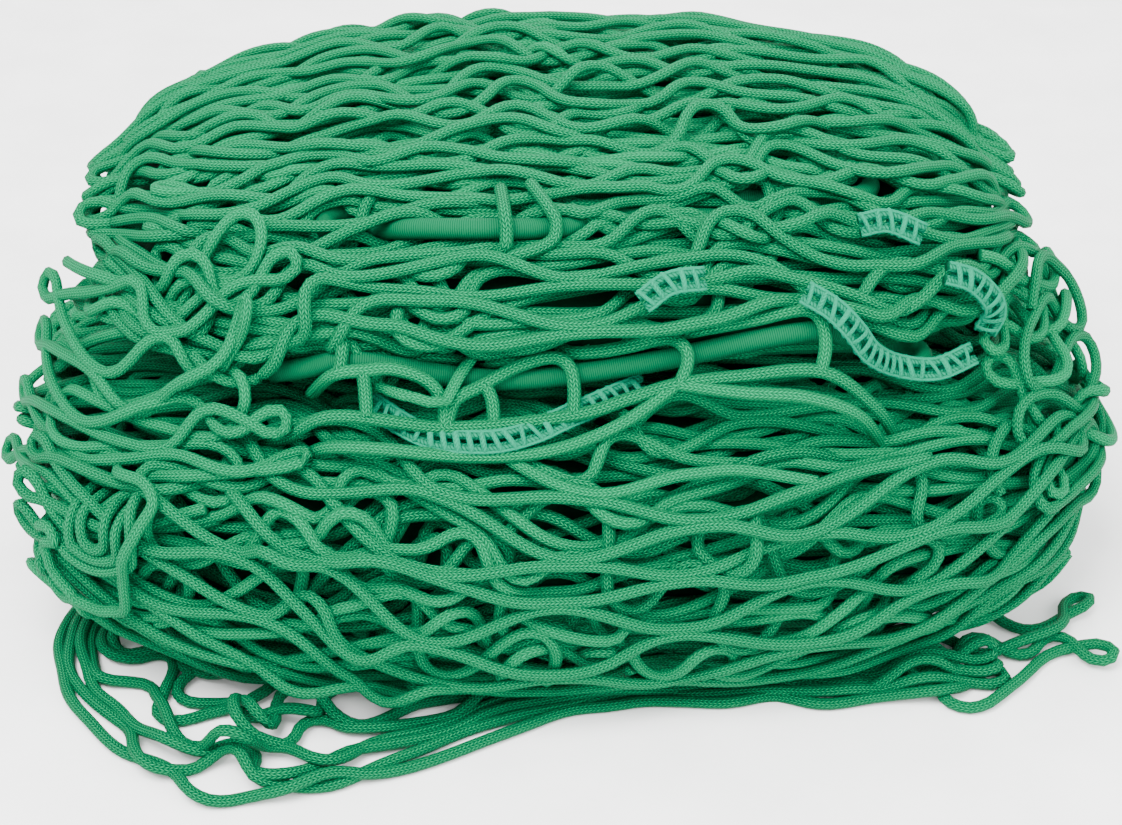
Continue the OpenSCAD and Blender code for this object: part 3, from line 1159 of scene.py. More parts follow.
@dataclass(frozen=True)
class PlainFinish:
    """A plain surface with a fine grain."""

    name: str
    colour: tuple[float, float, float]
    roughness: float = 0.6
    metallic: float = 0.0
    grain: float = 400.0
    relief: float = 0.1 * MM

    def make(self) -> bpy.types.Material:
        """Builds the material."""
        shader = Shader(self.name)
        noise = shader.wire("ShaderNodeTexNoise", {
            "Vector": shader.wire("ShaderNodeTexCoord", output="Object"),
            "Scale": self.grain, "Detail": 4.0}, output=0)
        dark = tuple(0.8 * part for part in self.colour)
        bump = shader.wire("ShaderNodeBump", {
            "Height": noise, "Distance": self.relief, "Strength": 0.6})
        return shader.finish({
            "Base Color": shader.ramp(noise, dark, self.colour),
            "Roughness": noise * 0.2 + (self.roughness - 0.1),
            "Metallic": self.metallic, "Normal": bump,
            "Specular IOR Level": 0.5 if self.metallic else 0.05})


# ---------------------------------------------------------------------------------------
# The object's parts
# ---------------------------------------------------------------------------------------


# Painted shade: the first colour of the net twine and of the binding yarn is painted into the grooves
# between stitches and strands. It is also the dark end of the cord tone.
NET = BraidFinish("net_twine", (0.0, 0.025, 0.0095), (0.0, 0.215, 0.08),
                  stitch=1.7 * MM, strands=7.0, relief=0.5 * MM)
BINDING = BraidFinish("binding_yarn", (0.0, 0.04, 0.016), (0.0, 0.17, 0.088),
                      stitch=1.4 * MM, strands=3.0, relief=0.15 * MM, tone_share=0.7)
# Painted shade: the elastic cover's first colour is painted between its ribs.
COVER = RibFinish("elastic_cover", (0.0, 0.02, 0.008), (0.0, 0.095, 0.037))
RUBBER = PlainFinish("elastic_rubber", (0.02, 0.02, 0.02), 0.7)
METAL = PlainFinish("ferrule_metal", (0.62, 0.63, 0.64), 0.35, 1.0, 90.0)
# Painted shade: the inner layers get a near-black green that stands for the deep shade inside the
# folds.
INNER_LAYERS_SHADE = PlainFinish("inner_layers_painted_shade", (0.0, 0.016, 0.006), 0.9, 0.0, 160.0, 3.0 * MM)
FLOOR = PlainFinish("studio_floor", (0.97, 0.97, 0.97), 0.9, 0.0, 20.0, 0.0)

SIZE = TwineSize()
SHEET_RATIO = 1.5
LOWER = Lobe(0.226, 0.142, 0.0, 0.060, 0.063, 0.059, 0.012, 4.0, 4.0)
UPPER = Lobe(0.194, 0.120, 0.012, 0.137, 0.058, 0.002, 0.034, 2.6, 2.6)


@dataclass
class ElasticCord:
    """One half of the elastic: rows with half turns between, and its bowed front run."""

    body: Body
    rows: int
    rear_y: float
    pitch: float
    height: float
    outline: tuple[float, float, float]
    margin: float
    ends: tuple[float, float]
    bow: Callable[[Array], Array]
    lead: Array
    first_x: float
    diameter: float = 8.0 * MM
    cover: float = 0.7 * MM

    def row_reach(self, y: float) -> float:
        """Half the length of a row at a place across the depth."""
        half_len, half_depth, centre = self.outline
        share = min(1.0, abs((y - centre) / half_depth))
        return half_len * (1.0 - share ** 2.6) ** (1.0 / 2.6) - self.margin

    def turn_x(self, y: float) -> float:
        """Half the distance at which the row at a place turns into the one before it."""
        here = self.row_reach(y)
        ahead = self.row_reach(y - self.pitch)
        return ahead if here < 0.0 else min(here, ahead)

    def path(self) -> Array:
        """The cord's centre line, from its hidden end at the ferrule to its front run."""
        points = [self.lead]
        side = -1.0
        for row in range(self.rows):
            y = self.rear_y - row * self.pitch
            reach = self.turn_x(y)
            start = self.turn_x(y + self.pitch) if row else self.first_x
            if row == self.rows - 2:
                reach = self.ends[0]
            if row == self.rows - 1:
                start, reach = self.ends
            x = np.linspace(-side * start, side * reach, max(4, int(2 * reach / (6 * MM))))
            straight = np.stack([x, np.full_like(x, y), np.full_like(x, self.height)], axis=1)
            if row == self.rows - 1:
                straight = straight + self.bow(x)
            points.append(straight)
            if row < self.rows - 1:
                angle = np.linspace(0.0, math.pi, 9)[1:-1]
                radius = 0.5 * self.pitch
                turn_x = side * (reach + radius * np.sin(angle))
                turn_y = y - radius + radius * np.cos(angle)
                points.append(np.stack([turn_x, turn_y, np.full_like(turn_x, self.height)], 1))
            side = -side
        return np.concatenate(points)

    def build(self) -> list[bpy.types.Object]:
        """Builds the cover and the core inside it."""
        path = smooth_path(self.path(), 1.4)
        tangent = unit(np.gradient(path, axis=0))
        flat = unit(np.cross(tangent, np.array([0.0, 0.05, 1.0])))
        half = self.body.value.split("_")[0]
        cover = Sweep(f"elastic_braid_{half}", sides=16)
        cover.cord(path, flat, self.diameter, self.diameter, 0.5)
        core = Sweep(f"elastic_rubber_{half}", sides=8)
        inner = self.diameter - 2.2 * self.cover
        core.cord(path[2:-2], flat[2:-2], inner, inner, 0.5)
        made = []
        for sweep, finish, slot, node in ((cover, COVER, "elastic_cover", "elastic_cover_"),
                                          (core, RUBBER, "elastic_core", "elastic_core_")):
            piece = sweep.build()
            piece.data.materials.append(finish.make())
            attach(piece, self.body.value)
            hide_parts(node + half)
            made.append(piece)
            log.info("%s: %.2f m", piece.name, sweep.length)
        return made


def bump_curve(points: Sequence[tuple[float, float, float]]) -> Callable[[Array], Array]:
    """Sideways offsets of a straight run, through given (x, y, z) offsets.

    Args:
        points: Places along X with the offsets in Y and Z there.

    Returns:
        A function from X to rows of three offsets.
    """
    table = np.array(points)
    smooth = smooth_path(table, 200.0 / (len(table) - 1))
    fine = smooth[:, 0]

    def offset(x: Array) -> Array:
        """Offsets at given places along X."""
        order = np.argsort(fine)
        across = np.interp(x, fine[order], smooth[order, 1])
        up = np.interp(x, fine[order], smooth[order, 2])
        return np.stack([np.zeros_like(x), across, up], axis=1)

    return offset


LOWER_BOW = bump_curve([(-0.20, 0.0, 0.0), (-0.13, 0.006, 0.002), (-0.10, 0.003, 0.007),
                        (-0.080, -0.003, 0.013), (-0.028, -0.004, 0.004),
                        (0.023, -0.004, 0.009), (0.085, -0.004, 0.021),
                        (0.108, -0.001, 0.013), (0.122, 0.0, 0.0)])
UPPER_BOW = bump_curve([(-0.2, 0.0, 0.0), (-0.085, 0.012, -0.004), (-0.06, -0.002, 0.004),
                        (-0.03, -0.009, 0.007), (-0.004, -0.004, 0.004), (0.03, 0.01, 0.0),
                        (0.08, 0.012, -0.004)])
FACING = np.array([0.0, -0.84, 0.54])
UPWARD = np.array([0.0, 0.54, 0.84])


class Elastic:
    """The whole elastic edge cord, in two halves that meet at the ferrule."""

    def __init__(self) -> None:
        """Takes the hinge line and the rows' heights from the frame."""
        low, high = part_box("elastic_ferrule")
        middle = 0.5 * (low + high)
        self.hinge = (float(middle.y), float(middle.z))
        _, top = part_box("elastic_cover_upper")
        crown = float(top.z) - 11.0 * MM
        hinge_y, hinge_z = self.hinge
        self.lower = ElasticCord(
            Body.LOWER, 11, hinge_y, 22.5 * MM, hinge_z, (0.198, 0.120, 0.012), 32 * MM,
            (0.122, 0.112), LOWER_BOW, np.zeros((0, 3)), -0.5 * MM)
        rise = crown - hinge_z
        rear = hinge_y - 0.75 * rise
        radius = 0.625 * rise
        angle = np.linspace(-0.5 * math.pi, 0.5 * math.pi, 13)
        turn_x = 0.072
        centre = np.array([turn_x, hinge_y - 0.375 * rise, hinge_z + 0.5 * rise])
        arc = (centre + radius * np.cos(angle)[:, None] * np.array([1.0, 0.0, 0.0])
               + radius * np.sin(angle)[:, None] * np.array([0.0, -0.6, 0.8]))
        start_x = np.linspace(0.002, turn_x - 0.004, 12)
        start = np.stack([start_x, np.full(12, hinge_y), np.full(12, hinge_z)], axis=1)
        self.upper = ElasticCord(
            Body.UPPER, 8, rear, 22.5 * MM, crown, (0.1616, 0.0963, 0.0248), 34 * MM,
            (0.080, 0.095), UPPER_BOW, np.concatenate([start, arc]), turn_x - 4 * MM)

    def keep_outs(self) -> list[KeepOut]:
        """Paths that the netting stays clear of."""
        clear = 0.5 * (8.0 + 4.5) * MM + 0.3 * MM
        outs = []
        for cord in (self.lower, self.upper):
            outs.append(KeepOut(cord.path()[::2], clear))
        return outs

    def windows(self) -> list[KeepOut]:
        """Openings in the netting through which the elastic shows."""
        front = self.front_run(np.linspace(-0.076, 0.112, 18), self.lower, LOWER_BOW)
        top = self.front_run(np.linspace(-0.052, -0.012, 8), self.upper, UPPER_BOW)
        return [KeepOut(front + 8 * MM * FACING, 10 * MM),
                KeepOut(front + 18 * MM * FACING, 11 * MM),
                KeepOut(front + 30 * MM * FACING, 12 * MM),
                KeepOut(top + 7 * MM * FACING, 5.5 * MM)]

    @staticmethod
    def front_run(x: Array, cord: ElasticCord, bow: Callable[[Array], Array]) -> Array:
        """Points of a half's front run at given places along X."""
        y = cord.rear_y - (cord.rows - 1) * cord.pitch
        return np.stack([x, np.full_like(x, y), np.full_like(x, cord.height)], 1) + bow(x)

    def build(self) -> None:
        """Builds both halves and dresses the ferrule."""
        self.lower.build()
        self.upper.build()
        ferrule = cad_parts["elastic_ferrule"]
        ferrule.data.materials.clear()
        ferrule.data.materials.append(METAL.make())


# Each hook is (place along X, up, out) in millimetres from the elastic's front run
LOWER_HOOKS = (
    ((-122, -24, -14), (-108, -25, 2), (-88, -20, 9), (-45, -19, 9), (-1, -15, 9),
     (20, -12, 8.5), (37, -10, 8.5), (60, -12, 8), (90, -15, 8), (112, -22, 2),
     (124, -26, -14)),
    ((-47.5, -19, 9), (-44, -9, 9), (-35, -3, 7.5), (-20, 5, 6), (-8, 7, 6), (-2, 3, 8),
     (-0.5, -5, 9), (-1, -14.5, 9)),
    ((-8, 14, -8), (-2, 8.5, 2), (8, 7, 4), (20, 7, 4.5), (34, 7.5, 5), (40, 3, 8),
     (41, -3, 8.5), (38, -10, 8.5)),
    ((32, 16, -8), (40, 9, 1), (50, 8, 4), (66, 7.5, 4), (84, 8, 5), (90, 3, 8),
     (91, -6, 8.5), (89, -15, 8)),
    ((-98, -10, -8), (-88, -5, 7), (-76, -3, 8.5), (-66, -1, 8.5), (-55, -3, 8.5),
     (-49, -9, 9), (-48, -19, 9)),
    ((-82, 16, -8), (-84, 6, 5), (-85, -1, 7.5), (-86, -5, 7.5)),
    ((-77, -3, 8.5), (-76.5, -11, 7.5), (-76, -20, 9)),
    ((-33, -2, 7.5), (-30.5, -8, 7.5), (-30, -18, 9)),
    ((-104, -34, -12), (-92, -31, 3), (-72, -31, 8), (-40, -29, 9), (-10, -27, 9),
     (16, -21, 8), (37, -10, 8.5)),
    ((37, -10, 8.5), (60, -18, 9), (84, -24, 8), (104, -28, 4), (118, -32, -12)),
)
UPPER_HOOKS = (
    ((-25, 16, -8), (-24, 6, 5), (-23.5, -2, 7), (-25, -8, 5), (-34, -12, -6)),
    ((-14, 18, -8), (-8, 8, 4), (-5, 1, 7), (-8, -6, 7), (-24, -11, 5), (-46, -12, -8)),
)


@dataclass
class Hooks:
    """Edge meshes that hook over a front run of the elastic."""

    name: str
    body: Body
    run: Callable[[Array], Array]
    hooks: tuple
    wide: float = 5.0 * MM
    thick: float = 4.4 * MM

    def paths(self) -> list[Array]:
        """Centre lines of the hooks."""
        made = []
        for hook in self.hooks:
            table = np.array(hook)
            base = self.run(table[:, 0] * MM)
            path = base + table[:, 1:2] * MM * UPWARD + table[:, 2:3] * MM * FACING
            made.append(smooth_path(path, 8.0))
        return made

    def keep_outs(self) -> list[KeepOut]:
        """Paths that the other netting stays clear of."""
        return [KeepOut(path[::3], 4.5 * MM) for path in self.paths()]

    def build(self, material: bpy.types.Material) -> None:
        """Builds the piece."""
        sweep = Sweep(self.name)
        for number, path in enumerate(self.paths()):
            away = np.tile(FACING, (len(path), 1))
            sweep.cord(path, away, self.wide, self.thick, 0.3 + 0.1 * (number % 5))
        piece = sweep.build()
        piece.data.materials.append(material)
        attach(piece, self.body.value)
        log.info("%s: %.2f m of twine", self.name, sweep.length)


# Each curl is (along, down, proud) in millimetres from a place on the fold's front
LEFT_CURLS = (
    ((-6, -20, -8), (-7, -8, 5), (-5, 4, 8), (0, 8, 8), (5, 4, 8), (6, -8, 7), (4, -22, -8)),
    ((-14, -22, -8), (-13, -8, 4), (-12, 6, 8), (-6, 14, 8), (2, 15, 8), (10, 9, 8),
     (12, -6, 8), (11, -22, -8)),
    ((-30, 4, -8), (-22, 16, 5), (-10, 21, 8), (4, 21, 8), (15, 13, 8), (18, 0, 9),
     (18, -16, 7), (16, -28, -8)),
    ((-2, -32, -8), (12, -29, 7), (24, -26, 9), (29, -18, 10), (24, -8, 11), (17, 6, 12),
     (14, 20, 10), (11, 32, 9), (2, 39, 9), (-12, 41, 9), (-22, 46, 8), (-34, 40, 6),
     (-40, 26, 4), (-41, 8, -8)),
    ((-38, 22, -8), (-32, 10, 6), (-24, 6, 8), (-19, 12, 9), (-26, 20, 9), (-20, 32, 9),
     (-12, 41, 9), (-10, 52, 6), (-11, 66, -8)),
    ((-34, 14, -8), (-33, 26, 7), (-31, 37, 8), (-36, 40, 6), (-42, 30, -6)),
)


@dataclass
class SurfaceStrands:
    """Strands, given one by one, that lie on a fold round a chosen place."""

    name: str
    lobe: Lobe
    body: Body
    centre: tuple[float, float]
    strands: tuple
    wide: float = 5.0 * MM
    thick: float = 4.4 * MM

    def paths(self) -> list[Array]:
        """Centre lines of the strands."""
        made = []
        for strand in self.strands:
            table = smooth_path(np.array(strand, float) * MM, 6.0)
            made.append(self.lobe.place(self.centre[0] + table[:, 0],
                                        self.centre[1] + table[:, 1], -table[:, 2]))
        return made

    def keep_outs(self) -> list[KeepOut]:
        """Paths that the other netting stays clear of."""
        return [KeepOut(path[::3], 4.5 * MM) for path in self.paths()]

    def build(self, material: bpy.types.Material) -> None:
        """Builds the piece."""
        sweep = Sweep(self.name)
        for number, path in enumerate(self.paths()):
            away = unit(path - np.array([0.0, 0.0, 0.06]))
            sweep.cord(path, away, self.wide, self.thick, 0.3 + 0.1 * (number % 5))
        piece = sweep.build()
        piece.data.materials.append(material)
        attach(piece, self.body.value)
        log.info("%s: %.2f m of twine", self.name, sweep.length)


@dataclass
class Netting:
    """All of the netting: its patches, their relaxation, and the swept pieces."""

    seed: int = 11
    passes: int = 170
    quick_passes: int = 60
    wide: float = 5.0 * MM
    thick: float = 4.3 * MM
    spread: float = 1.25 * MM

    def patches(self) -> list[Patch]:
        """Every patch of netting."""
        lower_back = LOWER.girth_at(0.0)
        lower_top = LOWER.girth_at(0.5 * math.pi)
        lower_front = LOWER.girth_at(math.pi)
        whole = float(LOWER.girth[-1])
        edge = LOWER.girth_at(0.78 * math.pi)
        splits = (LOWER.girth_at(0.2 * math.pi), edge, LOWER.girth_at(1.3 * math.pi))
        names = ("netting_lower_back", "netting_lower_top", "netting_lower_front",
                 "netting_lower_bottom")
        log.info("lower girth %.3f, top %.3f, front %.3f", whole, lower_top, lower_front)

        def round_lower(share: Array, girth: Array) -> Array:
            """All the way round the lower fold, with the seam underneath."""
            return (girth > lower_back - 0.16) & (girth < whole - 0.16)

        def messy(length: Array, girth: Array) -> Array:
            """Untidier on the left end and low at the front."""
            left = np.clip((-length - 0.06) / 0.08, 0.0, 1.0)
            low = np.clip((girth - edge) / 0.05, 0.0, 1.0)
            return 0.8 + 1.3 * left + 0.7 * low

        made = []
        for layer, (depth, pitch) in enumerate(((2.5, 10.0), (8.0, 9.5), (13.5, 10.5))):
            made.append(Patch(
                LOWER, (0.0405, pitch * MM), (0.0405, -pitch * MM),
                (0.013 * layer, 0.35), round_lower, depth * MM, 100 + layer,
                names if layer == 0 else tuple(f"{n}_layer_{layer + 1}" for n in names),
                splits, mess=messy, wander=7.5 * MM, end_share=(0.35, 0.55, 0.7)[layer]))

        def drape(share: Array, girth: Array) -> Array:
            """The open mesh over the lower front."""
            return (girth > edge - 0.012) & (girth < lower_front + 0.085) & (share < 0.86)

        made.append(Patch(
            LOWER, (0.0425, 0.0125), (0.0425, -0.0125), (0.0, lower_front), drape, -2.5 * MM,
            140, ("netting_front_drape",), wander=5.0 * MM, jitter=2.5 * MM,
            band=(-3.0 * MM, 4.5 * MM), hold=0.05, sag=0.05))

        def behind(share: Array, girth: Array) -> Array:
            """Folds that stand steeply behind the open mesh."""
            return (girth > edge + 0.004) & (girth < lower_front + 0.07) & (share < 0.82)

        made.append(Patch(
            LOWER, (0.012, 0.041), (0.034, -0.018), (0.01, lower_front), behind, 2.5 * MM,
            150, ("netting_steep_folds",), wander=7.0 * MM, jitter=5.0 * MM,
            band=(-6.0 * MM, 3.0 * MM), hold=0.02))
        sheet = Shoulder(UPPER, LOWER, UPPER.girth_at(0.80 * math.pi),
                         LOWER.girth_at(0.93 * math.pi))

        def left_shoulder(length: Array, girth: Array) -> Array:
            """Left of the part where the elastic shows, wider towards the foot."""
            return ((length < -0.105 - 0.5 * np.abs(girth - 0.04)) & (length > -0.262)
                    & (girth > -0.002) & (girth < 0.078))

        def right_shoulder(length: Array, girth: Array) -> Array:
            """Right of the stitched border."""
            return (length > 0.172) & (length < 0.262) & (girth > 0.01) & (girth < 0.078)

        for layer in range(2):
            for number, region in enumerate((left_shoulder, right_shoulder)):
                made.append(Patch(
                    sheet, (0.0405, 0.0085), (0.0405, -0.0085), (0.017 * layer, 0.0), region,
                    5.0 * MM * layer, 160 + 2 * layer + number,
                    ("netting_left_shoulder", "netting_right_shoulder")[number:number + 1],
                    wander=6.0 * MM, jitter=3.0 * MM, band=(-5.0 * MM, 3.0 * MM), hold=0.04))
        made += self._upper_patches()
        made += self._ground_patches()

        def valley(length: Array, girth: Array) -> Array:
            """The whole band behind the valley."""
            return (np.abs(length) < 0.150) & (girth > -0.002) & (girth < 0.054)

        for layer in range(2):
            made.append(Patch(
                Curtain(0.102, 0.1455 - 5.0 * MM * layer), (0.0405, 0.0075), (0.0405, -0.0075),
                (0.015 * layer, 0.0), valley, 0.0, 400 + layer, ("netting_fold_link",),
                wander=3.0 * MM, band=(-4.0 * MM, 2.5 * MM), hold=0.05))
        return made

    def _upper_patches(self) -> list[Patch]:
        """The shells of the upper fold."""
        front = UPPER.girth_at(math.pi)
        back = UPPER.girth_at(0.0)
        whole = float(UPPER.girth[-1])
        splits = (UPPER.girth_at(0.22 * math.pi), UPPER.girth_at(0.72 * math.pi), front)
        names = ("netting_upper_back", "netting_upper_top", "netting_upper_front",
                 "netting_upper_under")

        def dome(share: Array, girth: Array) -> Array:
            """Over the top, from the back valley to the front crease."""
            return (girth > back - 0.004) & (girth < front - 0.008)

        def under(share: Array, girth: Array) -> Array:
            """The underside, seen when the fold opens."""
            return (girth > front + 0.01) & (girth < whole - 0.01)

        def calm(length: Array, girth: Array) -> Array:
            """Tidy on top, less so towards the front and the left end."""
            left = np.clip((-length - 0.1) / 0.08, 0.0, 1.0)
            low = np.clip((girth - splits[1]) / 0.05, 0.0, 1.0)
            return 0.7 + 0.7 * left + 0.6 * low

        made = []
        for layer, (depth, pitch) in enumerate(((2.0, 8.5), (7.0, 8.5), (12.0, 9.5))):
            made.append(Patch(
                UPPER, (0.041, pitch * MM), (0.041, -pitch * MM),
                (0.012 * layer, 0.15), dome, depth * MM, 200 + layer,
                names if layer == 0 else tuple(f"{n}_layer_{layer + 1}" for n in names),
                splits, mess=calm, wander=6.0 * MM, end_share=(0.35, 0.55, 0.7)[layer]))
        for layer in range(2):
            made.append(Patch(
                UPPER, (0.041, 8.0 * MM), (0.041, -8.0 * MM), (0.014 * layer, 0.5), under,
                (0.5 + 4.8 * layer) * MM, 230 + layer, ("netting_upper_under",),
                wander=4.0 * MM, band=(-4.0 * MM, 0.5 * MM), end_share=0.5))
        return made

    def _ground_patches(self) -> list[Patch]:
        """The loose corner and the small loops at the right foot."""
        apron = Apron(
            route((-196, -40), (-208, -78), (-196, -118), (-163, -152), (-120, -172),
                  (-61, -158), (0, -132), (65, -125), (135, -128), (185, -112)),
            np.array([30, 48, 62, 66, 62, 46, 28, 18, 16, 20]) * MM, 2.6 * MM)
        half = 0.5 * float(apron.travel[-1])

        def corner(length: Array, girth: Array) -> Array:
            """The whole strip, from its outline to under the fold."""
            return (np.abs(length) < half) & (girth > -0.004) & (girth < 0.062)

        def loops(length: Array, girth: Array) -> Array:
            """A short strip of loops in front of the right foot."""
            return (np.abs(length) < 0.045) & (np.abs(girth) < 0.026)

        made = []
        made.append(Patch(
            apron, (0.0405, 0.0088), (0.0405, -0.0088), (0.012, 0.0), corner, 0.0,
            300, ("netting_loose_corner",), wander=3.5 * MM, jitter=2.5 * MM,
            band=(-1.0 * MM, 9.0 * MM), hold=0.08))
        made.append(Patch(
            Ground((0.172, -0.102, 2.6 * MM), 2.0 * MM),
            (0.034, 0.018), (0.034, -0.006), (0.0, 0.0), loops, 0.0, 320,
            ("netting_right_loops",), wander=3.0 * MM, band=(-1.0 * MM, 6.0 * MM), hold=0.05))
        return made

    def relax(self, book: NetBook, elastic: Elastic, hooks: Sequence[Hooks | SurfaceStrands]) -> Array:
        """Settles the netting round the elastic."""
        outs = elastic.keep_outs() + elastic.windows()
        for hook in hooks:
            outs += hook.keep_outs()
        outs += [stretch.keep_out() for stretch in BINDINGS]
        settle = Relaxer(book, 0.0, outs)
        return settle.run(self.passes)

    def build(self, elastic: Elastic) -> None:
        """Lays, settles and sweeps all of the netting."""
        book = NetBook(SIZE, self.seed)
        for patch in self.patches():
            before = book.count
            patch.lay(book)
            log.info("%s: %d particles", patch.pieces[0], book.count - before)
        hooks = [
            Hooks("netting_crease_hooks", Body.LOWER,
                  lambda x: elastic.front_run(x, elastic.lower, LOWER_BOW), LOWER_HOOKS),
            Hooks("netting_upper_hooks", Body.UPPER,
                  lambda x: elastic.front_run(x, elastic.upper, UPPER_BOW), UPPER_HOOKS),
            SurfaceStrands("netting_left_curls", LOWER, Body.LOWER,
                           (-0.180, LOWER.girth_at(math.pi) - 0.024), LEFT_CURLS)]
        place = self.relax(book, elastic, hooks)
        normals = np.concatenate(book.normals)
        sweeps: dict[str, Sweep] = {}
        cut: dict[str, float] = {}
        rng = np.random.default_rng(self.seed)
        beside = self._beside(book, place)
        for run in book.strands:
            sweep = sweeps.setdefault(run.piece, Sweep(run.piece))
            ids = np.array(run.particles)
            cut[run.piece] = cut.get(run.piece, 0.0) + (len(ids) - 1) * SIZE.step
            side = np.array(run.sides, float)
            shift = beside[ids] * side[:, None]
            near = np.roll(shift, 1, 0) + np.roll(shift, -1, 0)
            shift = shift + 0.4 * near * (side == 0.0)[:, None]
            path = smooth_path(place[ids] + shift * self.spread, 1.7)
            away = smooth_path(normals[ids], 1.7)[:len(path)]
            sweep.cord(path, away, self.wide, self.thick, float(rng.uniform(0.0, 1.0)))
        material = NET.make()
        for name in sorted(sweeps):
            self._finish(name, sweeps[name], cut[name], material)
        for hook in hooks:
            hook.build(material)

    @staticmethod
    def _beside(book: NetBook, place: Array) -> Array:
        """At each joint, the direction from the lower twine to the upper one."""
        total = np.zeros((book.count, 3))
        for run in book.strands:
            ids = np.array(run.particles)
            side = np.array(run.sides, float)
            joint = np.nonzero(side)[0]
            for step in (-1, 1):
                there = joint[(joint + step >= 0) & (joint + step < len(ids))]
                away = place[ids[there + step]] - place[ids[there]]
                total[ids[there]] += away * side[there][:, None]
        return unit(total) * (np.linalg.norm(total, axis=1, keepdims=True) > 1e-6)

    def _finish(self, name: str, sweep: Sweep, cut: float,
                material: bpy.types.Material) -> None:
        """Makes one piece of netting, parents it to its fold or bakes it in place, and hides the
        imported parts that it replaces.

        Args:
            name: The piece's name.
            sweep: Its swept twines.
            cut: Length of twine that was laid for it, before it settled.
            material: Its material.
        """
        piece = sweep.build()
        piece.data.materials.append(material)
        flat = cut * 0.5 * SIZE.leg
        covered = math.pi * SIZE.diameter / SIZE.leg
        side = math.sqrt(flat / SHEET_RATIO)
        held = "laid" if "corner" in name or "loops" in name else "folded"
        if name == "netting_fold_link":
            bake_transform(piece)
        elif name == "netting_loose_corner":
            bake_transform(piece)
        else:
            body = Body.UPPER if "upper" in name else Body.LOWER
            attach(piece, body.value)
        if name in REPLACED:
            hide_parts(*REPLACED[name])
        # The frame compares a sheet with its mesh's surface, and a net has only its twine's
        covered * flat
        log.info("%s: %.1f m of twine from a cut of %.1f m, %d faces", name, sweep.length, cut,
                 len(piece.data.polygons))


REPLACED = {
    "netting_lower_top": ("net_lower_top_layer",),
    "netting_lower_bottom": ("net_lower_bottom_layer",),
    "netting_lower_back": ("net_back_spine",),
    "netting_lower_front": ("net_right_turn", "net_left_turn"),
    "netting_front_drape": ("net_front_drape",),
    "netting_right_loops": ("net_right_loops",),
    "netting_loose_corner": ("net_corner_root", "net_loose_corner"),
    "netting_upper_top": ("net_upper_crown_layer",),
    "netting_upper_back": ("net_upper_back_spine",),
    "netting_upper_front": ("net_upper_front_drape", "net_upper_right_turn",
                            "net_upper_left_turn"),
    "netting_upper_under": ("net_upper_bottom_layer",),
}


@dataclass
class ShadedInnerLayers:
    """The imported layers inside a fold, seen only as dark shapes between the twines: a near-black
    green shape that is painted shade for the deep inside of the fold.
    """

    lobe: Lobe
    body: Body
    depth: float
    rows: int = 56
    columns: int = 40

    def build(self) -> None:
        """Builds the closed shape."""
        name = f"inner_layers_painted_shade_{self.body.value.split('_')[0]}"
        wave = Ripple(70 + self.rows, 0.04, 12)
        shape = bmesh.new()
        turns = np.linspace(0.0, 2.0 * math.pi, self.rows, endpoint=False)
        alongs = np.linspace(0.06, math.pi - 0.06, self.columns)
        rings = []
        for along in alongs:
            points = self.lobe.point(turns, np.full_like(turns, along),
                                     np.full_like(turns, self.depth))
            points = points + wave.at(points) * 1.2 * MM
            points[:, 2] = np.maximum(points[:, 2], 4.0 * MM)
            rings.append([shape.verts.new(tuple(point)) for point in points])
        for first, second in zip(rings, rings[1:]):
            for k in range(self.rows):
                after = (k + 1) % self.rows
                shape.faces.new((first[k], first[after], second[after], second[k]))
        shape.faces.new(rings[0][::-1])
        shape.faces.new(rings[-1])
        bmesh.ops.recalc_face_normals(shape, faces=shape.faces)
        mesh = bpy.data.meshes.new(name)
        shape.to_mesh(mesh)
        shape.free()
        for face in mesh.polygons:
            face.use_smooth = True
        piece = bpy.data.objects.new(name, mesh)
        bpy.context.scene.collection.objects.link(piece)
        # Painted shade: the near-black material stands for the shade deep inside the fold.
        mesh.materials.append(INNER_LAYERS_SHADE.make())
        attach(piece, self.body.value)
        if self.body is Body.LOWER:
            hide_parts("net_lower_middle_layer")
        log.info("%s: built", name)


